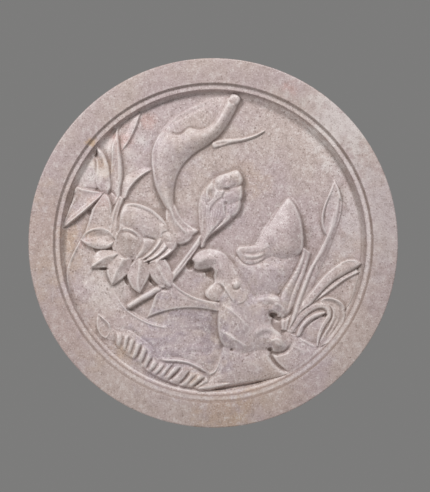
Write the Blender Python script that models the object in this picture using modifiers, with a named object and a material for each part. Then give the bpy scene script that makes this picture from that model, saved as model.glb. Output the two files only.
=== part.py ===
"""Round relief panel carved from one slab of stone, made to be fixed to a wall.

A plain flat rim steps down to a fillet and a cove, and in the sunk field stands a lotus pond: a great
curled leaf, an open flower, a bud on its stem, a hooded leaf, reeds, and a pierced rock on a bank. The slab
is shaped lying on its back, front up, and then stood up, so that its flat back lies in the plane y = 0 and
its front faces -Y.
"""

import math

import bmesh
import bpy
import numpy as np

# Driving sizes, in metres
PANEL_DIAMETER = 0.450
PANEL_THICKNESS = 0.050
RIM_WIDTH = 0.030
RIM_STEP_WIDTH = 0.0022
RIM_STEP_DEPTH = 0.0034
FILLET_WIDTH = 0.0056
COVE_WIDTH = 0.0062
FIELD_DEPTH = 0.0120
RELIEF_HEIGHT = 0.0110
FRONT_ARRIS = 0.0020
BACK_CHAMFER = 0.0012

# Radii and heights that follow from them
PANEL_RADIUS = PANEL_DIAMETER / 2
RIM_RADIUS = PANEL_RADIUS - RIM_WIDTH
FILLET_RADIUS = RIM_RADIUS - RIM_STEP_WIDTH
COVE_RADIUS = FILLET_RADIUS - FILLET_WIDTH
FIELD_RADIUS = COVE_RADIUS - COVE_WIDTH
FILLET_LEVEL = PANEL_THICKNESS - RIM_STEP_DEPTH
GROUND_LEVEL = PANEL_THICKNESS - FIELD_DEPTH
SOCKET_LEVEL = GROUND_LEVEL - 0.25 * FIELD_DEPTH
SHEET_UNDERSIDE = GROUND_LEVEL - 0.45 * FIELD_DEPTH

# The drawing is squared up from the middle of the field to its edge, and its heights are parts of the relief
SQUARES = 148
PARTS = 11.0
SQUARE = FIELD_RADIUS / SQUARES
PART = RELIEF_HEIGHT / PARTS
SHEET_RADIUS = FILLET_RADIUS - 0.5 * FILLET_WIDTH

# Fineness of the faceting
TURNED_STEPS = 96
COVE_STEPS = 5
ARRIS_STEPS = 3
SHEET_CELLS = 300
CARVING_TRIANGLES = 6600

STONE_COLOUR = (0.52, 0.44, 0.39, 1.0)
STONE_ROUGHNESS = 0.55

WALL = 0.9  # half the width of a carved wall, in squares


def ease(low, high, value):
    """0 below low, 1 above high and a smooth rise between."""
    share = np.clip((value - low) / (high - low), 0.0, 1.0)
    return share * share * (3 - 2 * share)


def spline(p0, p1, p2, p3, t):
    """A smooth curve's stretch from p1 to p2."""
    start = 2 * p1 + (p2 - p0) * t
    bend = (2 * p0 - 5 * p1 + 4 * p2 - p3) * t**2
    end = (3 * p1 - p0 - 3 * p2 + p3) * t**3
    return (start + bend + end) / 2


def curve(points, steps=6):
    """A smooth line through the points."""
    points = np.asarray(points, float)
    ends = np.vstack([2 * points[0] - points[1], points, 2 * points[-1] - points[-2]])
    t = np.linspace(0, 1, steps, endpoint=False)[:, None]
    spans = [spline(*ends[i : i + 4], t) for i in range(len(points) - 1)]
    return np.vstack([*spans, points[-1:]])


def loop(points, steps=6):
    """A smooth closed outline through the points."""
    points = np.asarray(points, float)
    around = np.vstack([points[-1:], points, points[:2]])
    t = np.linspace(0, 1, steps, endpoint=False)[:, None]
    return np.vstack([spline(*around[i : i + 4], t) for i in range(len(points))])


def profile(share, values):
    """A smooth curve through values at even shares from 0 to 1."""
    values = np.asarray(values, float)
    spans = len(values) - 1
    ends = np.concatenate([[2 * values[0] - values[1]], values, [2 * values[-1] - values[-2]]])
    span = np.clip((share * spans).astype(int), 0, spans - 1)
    t = np.clip(share * spans - span, 0, 1)
    return spline(ends[span], ends[span + 1], ends[span + 2], ends[span + 3], t)


class Carving:
    """Heights over the ground, in parts, at points given in squares from the panel's middle."""

    def __init__(self, x, y):
        self.x = x
        self.y = y
        self.height = np.zeros_like(x)

    def near(self, line, margin):
        low = line.min(axis=0) - margin
        high = line.max(axis=0) + margin
        return np.flatnonzero((self.x > low[0]) & (self.x < high[0]) & (self.y > low[1]) & (self.y < high[1]))

    def from_line(self, at, line):
        """Distance from the line, and the share of its length at the nearest place."""
        x, y = self.x[at], self.y[at]
        lengths = np.hypot(*np.diff(line, axis=0).T)
        starts = np.concatenate([[0], np.cumsum(lengths)])
        nearest = np.full(len(at), np.inf)
        along = np.zeros(len(at))
        for (ax, ay), (bx, by), length, start in zip(line, line[1:], lengths, starts):
            if length == 0:
                continue
            t = np.clip(((x - ax) * (bx - ax) + (y - ay) * (by - ay)) / length**2, 0, 1)
            gap = np.hypot(x - ax - t * (bx - ax), y - ay - t * (by - ay))
            along = np.where(gap < nearest, start + t * length, along)
            nearest = np.minimum(gap, nearest)
        return nearest, along / starts[-1]

    def depth_inside(self, at, outline):
        """Distance in from the closed outline, negative outside it."""
        x, y = self.x[at], self.y[at]
        closed = np.vstack([outline, outline[:1]])
        within = np.zeros(len(at), bool)
        for (ax, ay), (bx, by) in zip(closed, closed[1:]):
            if ay != by:
                within ^= ((ay > y) != (by > y)) & (x < (y - ay) * (bx - ax) / (by - ay) + ax)
        gap, _ = self.from_line(at, closed)
        return np.where(within, gap, -gap)

    def lay(self, at, depth, form, wall, keep_higher=False):
        """Lays a form over what is there, within a wall of twice the given width."""
        old = self.height[at]
        new = np.maximum(old, form) if keep_higher else form
        self.height[at] = old + (new - old) * ease(-wall, wall, depth)

    def blade(self, one_side, other_side, level, across, full_width, wall=WALL, keep_higher=False):
        """A leaf between two side curves, its heights across given from the one side to the other."""
        one = curve(one_side)
        other = curve(other_side)
        outline = np.vstack([one, other[::-1]])
        at = self.near(outline, 2 * wall)
        to_one, _ = self.from_line(at, one)
        to_other, _ = self.from_line(at, other)
        width = to_one + to_other + 1e-9
        form = level + profile(to_one / width, across) * np.minimum(1, width / full_width)
        self.lay(at, self.depth_inside(at, outline), form, wall, keep_higher)

    def rod(self, points, half_widths, level, crown, wall=WALL):
        """A round stem along a line, its half widths given at even shares of it."""
        line = curve(points)
        at = self.near(line, max(half_widths) + 2 * wall)
        gap, along = self.from_line(at, line)
        half = profile(along, half_widths)
        form = level + crown * np.sqrt(np.clip(1 - (gap / half) ** 2, 0, 1))
        self.lay(at, half - gap, form, wall)

    def pad(self, points, level, crown, roll, wall=WALL, lean=0.0, keep_higher=False):
        """A cushion in a closed outline, rounded over a roll in from its edge and leaning up to the right."""
        outline = loop(points)
        at = self.near(outline, 2 * wall)
        depth = self.depth_inside(at, outline)
        inward = np.clip(depth / roll, 0, 1)
        form = level + crown * np.sqrt(1 - (1 - inward) ** 2) + lean * (self.x[at] - outline[:, 0].mean())
        self.lay(at, depth, form, wall, keep_higher)

    def off_centre(self, centre, half_sizes, turn):
        """Distance from the centre of a turned ellipse, 1 on the ellipse."""
        cosine, sine = math.cos(math.radians(turn)), math.sin(math.radians(turn))
        x, y = self.x - centre[0], self.y - centre[1]
        return np.hypot((x * cosine + y * sine) / half_sizes[0], (y * cosine - x * sine) / half_sizes[1])

    def swell(self, centre, half_sizes, rise, turn=0):
        """A soft rise, or a hollow where rise is negative, with no edge."""
        self.height += rise * np.clip(1 - self.off_centre(centre, half_sizes, turn) ** 2, 0, 1) ** 2

    def pit(self, centre, half_sizes, drop, turn=0):
        """A drilled hollow with steep sides."""
        self.height -= drop * (1 - ease(0.35, 1.25, self.off_centre(centre, half_sizes, turn)))

    def crease(self, points, width, rise):
        """A ridge along a line, or a groove where rise is negative, dying away at both ends."""
        line = curve(points)
        at = self.near(line, 2.2 * width)
        gap, along = self.from_line(at, line)
        self.height[at] += rise * np.sqrt(4 * along * (1 - along)) * np.exp(-((gap / width) ** 2))


def carve_ground(carving):
    """The uneven ground, a little deeper between the plants, and cut back under the cove."""
    carving.swell((-137, 11), (24, 34), -1.4)
    carving.swell((-17, -42), (24, 20), -1.2)
    carving.swell((-63, 53), (26, 22), -0.8)
    carving.swell((127, -47), (26, 30), -0.8)
    carving.height -= 1.6 * ease(SQUARES - 1, SQUARES + 3, np.hypot(carving.x, carving.y))


# The crooked top line of the grass at the water's edge, and the angles and radius its blades run down to
GRASS_TOP = [(-104, -84), (-86, -93), (-69, -102), (-55, -118), (-38, -120), (-20, -127), (-4, -138)]
GRASS_ANGLES = (217, 265)
GRASS_FOOT = 146.5
GRASS_BLADES = 12


def carve_grass(carving):
    """A row of short blades side by side, from a crooked top line down to the cove."""
    line = curve(GRASS_TOP)
    share = np.linspace(0, 1, GRASS_BLADES + 1)
    places = np.linspace(0, 1, len(line))
    tops = np.column_stack([np.interp(share, places, axis) for axis in line.T])
    angles = np.radians(np.interp(share, (0, 1), GRASS_ANGLES))
    feet = GRASS_FOOT * np.column_stack([np.cos(angles), np.sin(angles)])
    bends = (tops + feet) / 2 + np.array([0.4, -1.4])
    sides = list(zip(tops, bends, feet))
    for one_side, other_side in zip(sides, sides[1:]):
        carving.blade(one_side, other_side, 1.0, (0.2, 2.0, 2.7, 2.4, 0.5), 9, keep_higher=True)
        carving.crease(other_side, 1.2, -1.3)


def carve_bank(carving):
    """The mound and its pool at the lower left, the grass, and the banks round the foot of the rock."""
    mound_brow = [(-103, -43), (-98, -51), (-94, -60), (-82, -68), (-69, -76), (-55, -81), (-37, -84)]
    mound_foot = [(-21, -97), (-27, -121), (-53, -133), (-83, -135), (-123, -109), (-155, -57)]
    mound_back = [(-153, -13), (-129, -19), (-115, -27)]
    carving.pad(mound_brow + mound_foot + mound_back, 0.0, 3.4, 34, wall=1.4, keep_higher=True)
    carving.crease(mound_brow, 1.8, 1.1)
    carving.swell((-23, -97), (44, 26), -2.4, turn=-14)
    carving.crease([(-17, -126), (-6, -131), (2, -127), (8, -118), (11, -107)], 2.4, 2.4)
    carve_grass(carving)
    carving.blade(
        [(-116, -70), (-115, -79), (-114, -89), (-109, -97), (-104, -95)],
        [(-116, -70), (-108, -77), (-102, -84), (-102, -90), (-104, -95)],
        2.6, (0.4, 1.6, 1.4, 0.2), 7,
    )
    carving.crease([(-115, -69), (-107, -75), (-100, -84), (-94, -93)], 1.5, 1.5)
    right_bank_top = [(59, -107), (74, -92), (85, -95), (99, -102), (117, -109)]
    right_bank_foot = [(109, -123), (92, -133), (76, -131), (66, -123)]
    carving.pad(right_bank_top + right_bank_foot, 1.4, 2.6, 14, wall=1.2)
    near_bank = [
        (9, -103), (23, -97), (49, -97), (57, -107), (61, -117), (68, -125), (76, -130),
        (67, -135), (39, -140), (12, -144), (-8, -148), (-15, -146), (-3, -137), (7, -123),
    ]
    carving.pad(near_bank, 2.2, 3.6, 18, wall=1.2)
    carving.rod([(-17, -146), (-5, -145), (9, -143)], [0.6, 3.0, 0.8], 1.0, 1.8)
    carving.crease([(-19, -149), (-5, -148), (12, -145), (37, -141), (68, -134)], 1.7, -2.8)
    carving.crease([(57, -109), (61, -117), (68, -124), (76, -130)], 1.6, -2.8)


def carve_left_reeds(carving):
    """The clump at the left: broad leaves crossing, a sickle leaf and stems running behind the flower."""
    carving.blade(
        [(-133, 3), (-138, -6), (-142, -14), (-146, -24), (-147, -37), (-143, -55)],
        [(-133, 3), (-117, -7), (-115, -19), (-119, -27), (-125, -37), (-134, -54), (-143, -55)],
        1.4, (2.4, 0.8, 0.6, 0.9, 1.4), 10,
    )
    carving.blade(
        [(-72, 132), (-85, 124), (-94, 113), (-95, 101), (-92, 87)],
        [(-72, 132), (-75, 124), (-78, 115), (-82, 104), (-89, 92), (-92, 87)],
        0.6, (0.4, 0.6, 1.6, 2.6), 7,
    )
    carving.blade(
        [(-120, 93), (-129, 79), (-135, 65), (-137, 54)],
        [(-120, 93), (-117, 83), (-116, 67), (-117, 53), (-137, 54)],
        0.2, (0.0, 0.8, 2.2, 3.2), 10,
    )
    carving.blade(
        [(-96, 117), (-105, 109), (-116, 98), (-109, 93), (-105, 83), (-103, 71), (-103, 53), (-101, 37)],
        [(-96, 117), (-94, 105), (-92, 93), (-91, 79), (-91, 65), (-93, 51), (-97, 37), (-101, 37)],
        1.2, (0.0, 1.6, 3.4, 3.8, 2.2), 10,
    )
    carving.blade(
        [(-120, 97), (-117, 88), (-115, 75), (-116, 63), (-116, 51)],
        [(-120, 97), (-113, 93), (-107, 85), (-103, 73), (-103, 59), (-106, 51), (-116, 51)],
        2.2, (0.8, 0.4, 1.0, 2.2, 2.8), 8,
    )
    carving.pit((-99, 112), (2.4, 5.0), 2.4, turn=-28)
    carving.pit((-117, 91), (2.2, 5.4), 3.2, turn=12)
    carving.blade(
        [(-92, 61), (-97, 43), (-102, 23), (-105, 3)],
        [(-92, 61), (-86, 47), (-91, 37), (-95, 21), (-97, 3), (-105, 3)],
        2.6, (0.8, 2.0, 0.8, 1.8, 0.4), 7,
    )
    carving.blade(
        [(-109, 50), (-117, 41), (-124, 31), (-125, 21), (-129, 11), (-133, 3)],
        [(-109, 50), (-105, 46), (-102, 35), (-102, 21), (-105, 11), (-118, 7), (-133, 3)],
        1.8, (1.6, 1.0, 0.8, 1.2, 1.6), 9,
    )
    carving.blade(
        [(-109, 51), (-123, 52), (-136, 54), (-142, 40), (-147, 27), (-153, 13)],
        [(-109, 51), (-116, 43), (-125, 34), (-133, 27), (-143, 20), (-153, 13)],
        2.4, (1.6, 0.9, 0.6, 1.2, 2.6), 10,
    )
    carving.crease([(-112, 49), (-123, 39), (-136, 28), (-150, 16)], 2.4, 1.6)
    carving.pit((-124, 30), (1.8, 3.6), 2.2)
    carving.blade(
        [(-95, 45), (-92, 60), (-85, 66), (-77, 72), (-68, 75), (-61, 73)],
        [(-95, 45), (-88, 44), (-84, 51), (-79, 58), (-72, 66), (-61, 73)],
        1.0, (0.0, 1.4, 3.0, 3.4), 9,
    )


def carve_right_reeds(carving):
    """The clump at the right: a reed with its leaf, a cut reed, a long blade and two leaves bent over."""
    carving.blade(
        [(122, 62), (116, 50), (111, 37), (108, 25), (110, 16), (115, 6)],
        [(122, 62), (126, 50), (127, 38), (125, 24), (121, 13), (115, 6)],
        1.8, (1.8, 0.6, 0.8, 2.2), 8,
    )
    carving.blade(
        [(127, 39), (122, 29), (118, 18), (114, 7), (111, -3)],
        [(127, 39), (126, 28), (123, 15), (118, 1), (111, -3)],
        2.4, (2.6, 1.2, 0.0), 5,
    )
    carving.blade(
        [(115, 9), (108, -3), (99, -19), (90, -39), (81, -62), (74, -89)],
        [(119, 5), (114, -11), (105, -29), (99, -45), (91, -67), (83, -90)],
        1.8, (1.8, 2.2, 0.6, 2.0, 1.0), 8,
    )
    carving.blade(
        [(90, -5), (86, -19), (78, -35), (68, -51), (67, -69), (68, -87)],
        [(98, -11), (92, -29), (85, -47), (78, -67), (74, -88)],
        2.0, (1.0, 3.0, 1.0, 2.2, 0.6), 9,
    )
    carving.blade(
        [(149, -20), (140, -17), (131, -20), (121, -27), (111, -37), (99, -51), (88, -67), (78, -88)],
        [(149, -20), (141, -27), (129, -35), (118, -45), (108, -55), (98, -65), (88, -77), (78, -88)],
        2.0, (0.8, 1.8, 3.4, 1.4, 0.0), 9,
    )
    carving.blade(
        [(148, -25), (133, -34), (121, -42), (109, -56)],
        [(148, -25), (144, -29), (129, -40), (118, -50), (109, -56)],
        1.0, (0.2, 1.8, 1.0), 6,
    )
    carving.blade(
        [(105, -61), (115, -60), (119, -66), (114, -79), (108, -93), (104, -106)],
        [(105, -61), (113, -54), (123, -55), (130, -61), (133, -69), (130, -83), (120, -98), (104, -106)],
        1.4, (1.0, 1.8, 1.2, 1.8, 2.8), 9,
    )
    rising = [(77, -90), (85, -79), (94, -69), (104, -63)]
    bent_over = [(112, -61), (117, -65), (116, -73), (110, -83), (104, -103)]
    carving.rod(rising + bent_over, [3.0, 3.2, 3.4, 3.2, 2.8, 2.2, 2.0, 1.8, 1.2], 1.8, 2.4)
    carving.rod([(83, -94), (90, -84), (98, -75), (108, -69)], [2.8, 2.8, 2.6, 1.4], 1.6, 2.4)


def carve_great_leaf(carving):
    """The great curled leaf: a thin back face, and before it the thick roll that narrows to the foot."""
    left_side = [(-48, 31), (-55, 48), (-59, 63), (-62, 78), (-61, 93), (-58, 105), (-53, 112)]
    back_top = [(-47, 119), (-38, 127), (-27, 134), (-15, 140), (-1, 145), (13, 148), (22, 148)]
    fold = [(-45, 111), (-33, 110), (-24, 115), (-13, 113), (-6, 116), (4, 128), (8, 135), (17, 144)]
    right_side = [(27, 143), (24, 137), (15, 121), (0, 105), (-18, 91), (-32, 73), (-39, 53), (-40, 43)]
    foot = [(-37, 35), (-30, 26), (-23, 19), (-16, 14), (-17, 10), (-27, 2), (-36, -1), (-44, 7)]
    carving.pad(left_side + back_top + right_side + foot, 1.2, 1.6, 7)
    carving.pad(left_side + fold + right_side + foot, 3.2, 5.6, 17)
    carving.crease([(-21, 112), (-35, 103), (-44, 89), (-48, 71), (-46, 51), (-39, 31)], 8, 1.6)
    carving.crease([(-54, 107), (-56, 93), (-56, 78), (-54, 61), (-50, 45)], 2.4, -1.3)
    carving.crease([(-41, 43), (-36, 33), (-27, 24), (-17, 16)], 1.6, 1.4)
    carving.crease([(-43, 39), (-36, 28), (-23, 12)], 1.5, -1.4)


def carve_stems(carving):
    """The bud's stem, passing behind the flower, and a thin tendril above."""
    stem = [(-12, 5), (-21, -8), (-29, -19), (-36, -28), (-45, -38), (-57, -47), (-71, -55), (-84, -63)]
    carving.rod(stem, [3.2, 3.2, 3.4, 3.4, 3.4, 3.2, 2.8], 1.6, 3.4)
    tendril = [(0, 98), (8, 99), (17, 103), (29, 104), (41, 107), (51, 112)]
    carving.rod(tendril, [3.2, 3.0, 2.6, 2.2, 1.8, 0.8], 0.4, 2.6)


def carve_petal(carving, one_side, other_side, level, crest):
    """One outer petal of the flower, with a crest along its middle."""
    carving.blade(one_side, other_side, level, (0.2, 0.62 * crest, crest, 0.62 * crest, 0.2), 9)


def carve_flower(carving):
    """The open flower: five pointed outer petals, a rim behind, nested shells and the cup in front."""
    head_top = [(-93, 29), (-86, 39), (-73, 38), (-60, 33), (-52, 26), (-46, 19), (-43, 12), (-36, 3)]
    head_foot = [(-37, -5), (-48, -15), (-63, -22), (-81, -19), (-97, -13), (-101, 1), (-99, 15)]
    carving.pad(head_top + head_foot, 4.0, 2.2, 10)
    left_tip, low_left_tip, low_tip = (-132, 4), (-121, -24), (-101, -41)
    bottom_tip, right_tip = (-73, -50), (-41, -45)
    heart = [(-95, 1), (-92, -9), (-86, -12), (-72, -15), (-56, -13)]
    carve_petal(
        carving,
        [left_tip, (-126, 11), (-116, 15), (-103, 13), heart[0]],
        [left_tip, (-126, -2), (-116, -6), (-105, -6), heart[0]],
        2.8, 3.2,
    )
    carving.swell((-114, 9), (12, 5), -3.2)
    carve_petal(
        carving,
        [low_left_tip, (-120, -15), (-116, -7), (-105, -3), heart[1]],
        [low_left_tip, (-112, -23), (-103, -21), (-95, -16), heart[1]],
        2.8, 3.4,
    )
    carve_petal(
        carving,
        [low_tip, (-106, -33), (-106, -24), (-99, -16), heart[2]],
        [low_tip, (-93, -37), (-85, -30), (-80, -21), heart[2]],
        3.0, 3.8,
    )
    carve_petal(
        carving,
        [bottom_tip, (-82, -43), (-85, -34), (-82, -23), heart[3]],
        [bottom_tip, (-68, -41), (-63, -31), (-63, -21), heart[3]],
        3.2, 4.2,
    )
    carve_petal(
        carving,
        [right_tip, (-53, -43), (-62, -35), (-64, -23), heart[4]],
        [right_tip, (-40, -35), (-42, -24), (-47, -15), heart[4]],
        3.2, 4.0,
    )
    carving.blade(
        [(-94, 28), (-87, 39), (-73, 38), (-60, 32), (-52, 25), (-46, 19), (-44, 10)],
        [(-94, 28), (-86, 34), (-75, 32), (-65, 29), (-58, 24), (-53, 18), (-44, 10)],
        4.8, (0.4, 1.6, 1.4, 0.0), 6,
    )
    petal_back = [(-91, 18), (-91, 26), (-86, 32), (-75, 31), (-66, 29), (-59, 23), (-54, 17), (-54, 9)]
    petal_front = [(-56, 4), (-65, 5), (-71, 9), (-80, 16)]
    carving.pad(petal_back + petal_front, 5.6, 2.8, 10)
    carving.blade(
        [(-65, -21), (-53, -17), (-42, -11), (-36, -3), (-38, 6)],
        [(-65, -21), (-56, -13), (-48, -7), (-43, -1), (-38, 6)],
        5.4, (2.2, 1.0, -0.4), 7,
    )
    carving.blade(
        [(-69, -20), (-59, -14), (-50, -6), (-46, 2), (-48, 10)],
        [(-69, -20), (-62, -11), (-55, -4), (-52, 3), (-48, 10)],
        5.8, (2.2, 1.0, -0.6), 7,
    )
    carving.blade(
        [(-79, -16), (-73, -8), (-70, 0), (-70, 7)],
        [(-79, -16), (-68, -14), (-59, -7), (-53, 1), (-54, 6), (-70, 7)],
        5.8, (2.4, 1.6, -0.4, -1.2), 9,
    )
    carving.pad([(-50, 9), (-46, 12), (-40, 9), (-35, 2), (-37, -4), (-43, -8), (-48, -3)], 6.0, 2.4, 6)
    cup_right = [(-91, 15), (-85, 16), (-78, 14), (-72, 8), (-70, 1), (-73, -8)]
    cup_left = [(-80, -14), (-88, -14), (-94, -9), (-96, 0), (-95, 9)]
    carving.pad(cup_right + cup_left, 6.0, 3.0, 9)
    carving.pit((-86, -38), (1.9, 4.8), 3.4, turn=15)
    carving.pit((-61, -39), (3.4, 2.0), 3.0, turn=-40)
    carving.pit((-108, -25), (4.4, 1.6), 2.6)


def carve_hooded_leaf(carving):
    """The leaf at the right: a bowl below and a hood over it that stands up higher to the right."""
    bowl_top = [(25, -15), (33, -19), (43, -19), (53, -13), (63, -7), (77, -7), (89, 3)]
    bowl_right = [(88, -13), (83, -24), (77, -34), (71, -44), (63, -51)]
    bowl_left = [(53, -55), (43, -54), (36, -42), (30, -30)]
    carving.pad(bowl_top + bowl_right + bowl_left, 1.4, 4.2, 18, lean=0.02)
    hood_right = [(74, 44), (79, 41), (85, 34), (89, 24), (90, 12), (89, 0), (85, -9), (77, -15), (68, -16)]
    hood_lip = [(62, -12), (57, -7), (53, -10), (47, -19), (39, -22), (30, -19), (24, -14), (22, -9)]
    hood_left = [(26, -5), (34, -4), (42, -2), (48, 5), (55, 17), (62, 29), (68, 38)]
    carving.pad(hood_right + hood_lip + hood_left, 2.6, 3.6, 15, lean=0.055)
    carving.crease([(25, -7), (34, -10), (45, -10), (55, -5), (62, 5)], 1.7, -1.4)
    carving.crease([(27, -11), (35, -13), (46, -12), (55, -7)], 1.5, 1.0)
    carving.swell((73, 13), (14, 26), 1.6, turn=-12)


def carve_bud(carving):
    """The closed bud, the highest part of the relief: a cap, a band below it and long petals in front."""
    bud_top = [(14, 70), (25, 72), (29, 65), (29, 53), (28, 43), (27, 35)]
    bud_right = [(22, 27), (16, 21), (8, 15), (0, 9), (-6, 3), (-9, -4)]
    bud_left = [(-14, -4), (-14, 5), (-14, 15), (-15, 29), (-15, 40), (-12, 50), (-6, 59), (2, 66)]
    carving.pad(bud_top + bud_right + bud_left, 3.8, 6.2, 16)
    carving.blade(
        [(12, 37), (21, 41), (27, 43), (27, 34), (19, 24)],
        [(12, 37), (12, 28), (9, 20), (19, 24)],
        7.4, (0.8, 1.0, 0.0), 7,
    )
    carving.blade(
        [(15, 35), (11, 27), (4, 17), (-7, 4)],
        [(15, 35), (18, 27), (11, 18), (-7, 4)],
        6.4, (1.8, 0.9, 0.2), 4,
    )
    carving.swell((6, 61), (8, 7), 1.2)
    carving.swell((18, 66), (8, 6), 1.0)
    carving.swell((22, 59), (6, 6), 1.0)
    carving.blade(
        [(8, 44), (15, 51), (28, 54)],
        [(8, 44), (13, 37), (21, 41), (28, 44), (28, 54)],
        8.4, (0.6, 2.0, 0.4), 7,
    )
    carving.pit((14, 53), (4.0, 1.8), 1.8)
    carving.blade(
        [(-10, 2), (-13, 17), (-13, 33), (-8, 45), (-2, 52)],
        [(-10, 2), (-2, 17), (2, 33), (2, 45), (-2, 52)],
        6.6, (0.4, 2.0, 1.2), 8,
    )
    carving.blade(
        [(-9, 0), (-8, 15), (-4, 30), (2, 39), (10, 45)],
        [(-9, 0), (0, 12), (7, 24), (10, 35), (10, 45)],
        8.0, (0.4, 2.4, 1.6), 8,
    )
    carving.pit((-2, 48), (2.2, 3.4), 2.2, turn=20)


def carve_water_leaf(carving):
    """The leaf on the water, fanned out at the left and drawn in to a stalk at the rock."""
    carving.blade(
        [(-67, -75), (-60, -59), (-55, -44), (-41, -38), (-31, -47), (-17, -53), (-5, -56), (9, -59)],
        [(-67, -75), (-53, -69), (-37, -66), (-21, -65), (-7, -66), (9, -70)],
        1.2, (2.4, 2.2, 1.6, 1.8, 1.6), 13,
    )
    carving.crease([(-40, -39), (-30, -48), (-16, -55), (3, -59)], 1.8, 1.4)
    carving.crease([(-17, -59), (-5, -62), (7, -64)], 3.4, 1.2)


def carve_rock(carving):
    """The pierced rock: a hook at the top, plates one over another down its left, two curls at its right."""
    hook = [(-22, -17), (-17, -11), (-9, -6), (0, -6), (9, -9), (17, -17), (27, -27), (34, -37), (40, -48)]
    upper_curl = [(43, -54), (53, -51), (64, -52), (73, -57), (76, -65), (73, -72), (65, -74), (58, -76)]
    lower_curl = [(59, -84), (66, -90), (73, -95), (76, -102), (73, -108), (64, -109), (56, -108)]
    underside = [(49, -111), (37, -115), (27, -113), (20, -108), (13, -104), (7, -96), (5, -85), (5, -73)]
    throat = [(7, -60), (0, -58), (-6, -54), (-7, -48), (-3, -44), (2, -38), (0, -30), (-4, -25)]
    hook_underside = [(-10, -25), (-17, -25), (-21, -22)]
    carving.pad(hook + upper_curl + lower_curl + underside + throat + hook_underside, 4.0, 3.8, 10)
    carving.swell((43, -103), (22, 16), -1.2)
    carving.swell((-12, -16), (13, 12), 3.0)
    carving.pad([(-5, -49), (-1, -43), (6, -41), (11, -46), (10, -53), (5, -57), (-2, -56)], 4.6, 3.2, 6)
    carving.swell((3, -31), (9, 14), -2.0, turn=10)
    middle_plate = [(7, -61), (17, -65), (27, -73), (39, -82), (37, -95), (25, -97), (13, -92), (4, -80)]
    carving.pad(middle_plate, 6.2, 2.4, 10)
    lower_plate = [(6, -87), (18, -92), (30, -99), (38, -107), (35, -115), (27, -113), (19, -108), (7, -96)]
    carving.pad(lower_plate, 5.6, 2.6, 9)
    carving.swell((23, -40), (6, 7), 2.4)
    carving.swell((65, -62), (15, 14), 2.8)
    carving.swell((60, -66), (5, 5), -1.8)
    carving.crease([(42, -99), (43, -90), (49, -84), (57, -84), (64, -88)], 1.8, 1.8)
    carving.crease([(53, -103), (51, -96), (56, -91)], 1.8, -2.0)
    carving.swell((64, -99), (11, 11), 3.2)
    carving.pit((61, -73), (4.6, 2.3), 5.6)
    carving.pit((57, -107), (2.6, 1.8), 4.0)
    carving.pit((19, -108), (2.8, 1.8), 4.2)
    carving.pit((-3, -27), (2.8, 3.4), 5.6)
    carving.pit((-22, -21), (2.8, 3.4), 4.2)


def carve_pond(x, y):
    """Heights of the whole picture, from the ground up to what overlaps most."""
    carving = Carving(x, y)
    carve_ground(carving)
    carve_bank(carving)
    carve_left_reeds(carving)
    carve_right_reeds(carving)
    carve_great_leaf(carving)
    carve_stems(carving)
    carve_flower(carving)
    carve_hooded_leaf(carving)
    carve_bud(carving)
    carve_water_leaf(carving)
    carve_rock(carving)
    return np.clip(carving.height, -2.4, PARTS)


def clear_scene():
    for old in list(bpy.data.objects):
        bpy.data.objects.remove(old, do_unlink=True)


def new_collection(name):
    collection = bpy.data.collections.new(name)
    bpy.context.scene.collection.children.link(collection)
    return collection


def stone_material():
    material = bpy.data.materials.new("Waxed sandstone")
    material.use_nodes = True
    surface = material.node_tree.nodes["Principled BSDF"]
    surface.inputs["Base Color"].default_value = STONE_COLOUR
    surface.inputs["Roughness"].default_value = STONE_ROUGHNESS
    surface.inputs["Metallic"].default_value = 0.0
    material.diffuse_color = STONE_COLOUR
    return material


def slab_profile():
    """(radius, height) from the middle of the socket out over the rim and round to the middle of the back."""
    points = [(0, SOCKET_LEVEL), (FIELD_RADIUS - SQUARE, SOCKET_LEVEL)]
    for step in range(COVE_STEPS + 1):
        turn = math.pi / 2 * step / COVE_STEPS
        rise = (FILLET_LEVEL - GROUND_LEVEL) * (1 - math.cos(turn))
        points.append((FIELD_RADIUS + COVE_WIDTH * math.sin(turn), GROUND_LEVEL + rise))
    points += [(FILLET_RADIUS, FILLET_LEVEL), (RIM_RADIUS, PANEL_THICKNESS)]
    for step in range(ARRIS_STEPS + 1):
        turn = math.pi / 2 * step / ARRIS_STEPS
        radius = PANEL_RADIUS - FRONT_ARRIS * (1 - math.sin(turn))
        points.append((radius, PANEL_THICKNESS - FRONT_ARRIS * (1 - math.cos(turn))))
    points += [(PANEL_RADIUS, BACK_CHAMFER), (PANEL_RADIUS - BACK_CHAMFER, 0), (0, 0)]
    return points


def turned_slab(collection):
    """The slab turned to its rim, fillet and cove, with a round socket where the carved field goes."""
    points = [(radius, 0, height) for radius, height in slab_profile()]
    mesh = bpy.data.meshes.new("relief_panel")
    mesh.from_pydata(points, [(i, i + 1) for i in range(len(points) - 1)], [])
    slab = bpy.data.objects.new("relief_panel", mesh)
    collection.objects.link(slab)
    turn = slab.modifiers.new("Turn", "SCREW")
    turn.steps = TURNED_STEPS
    turn.render_steps = TURNED_STEPS
    turn.use_merge_vertices = True
    turn.merge_threshold = 0.00001
    turn.use_smooth_shade = False
    return slab


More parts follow.
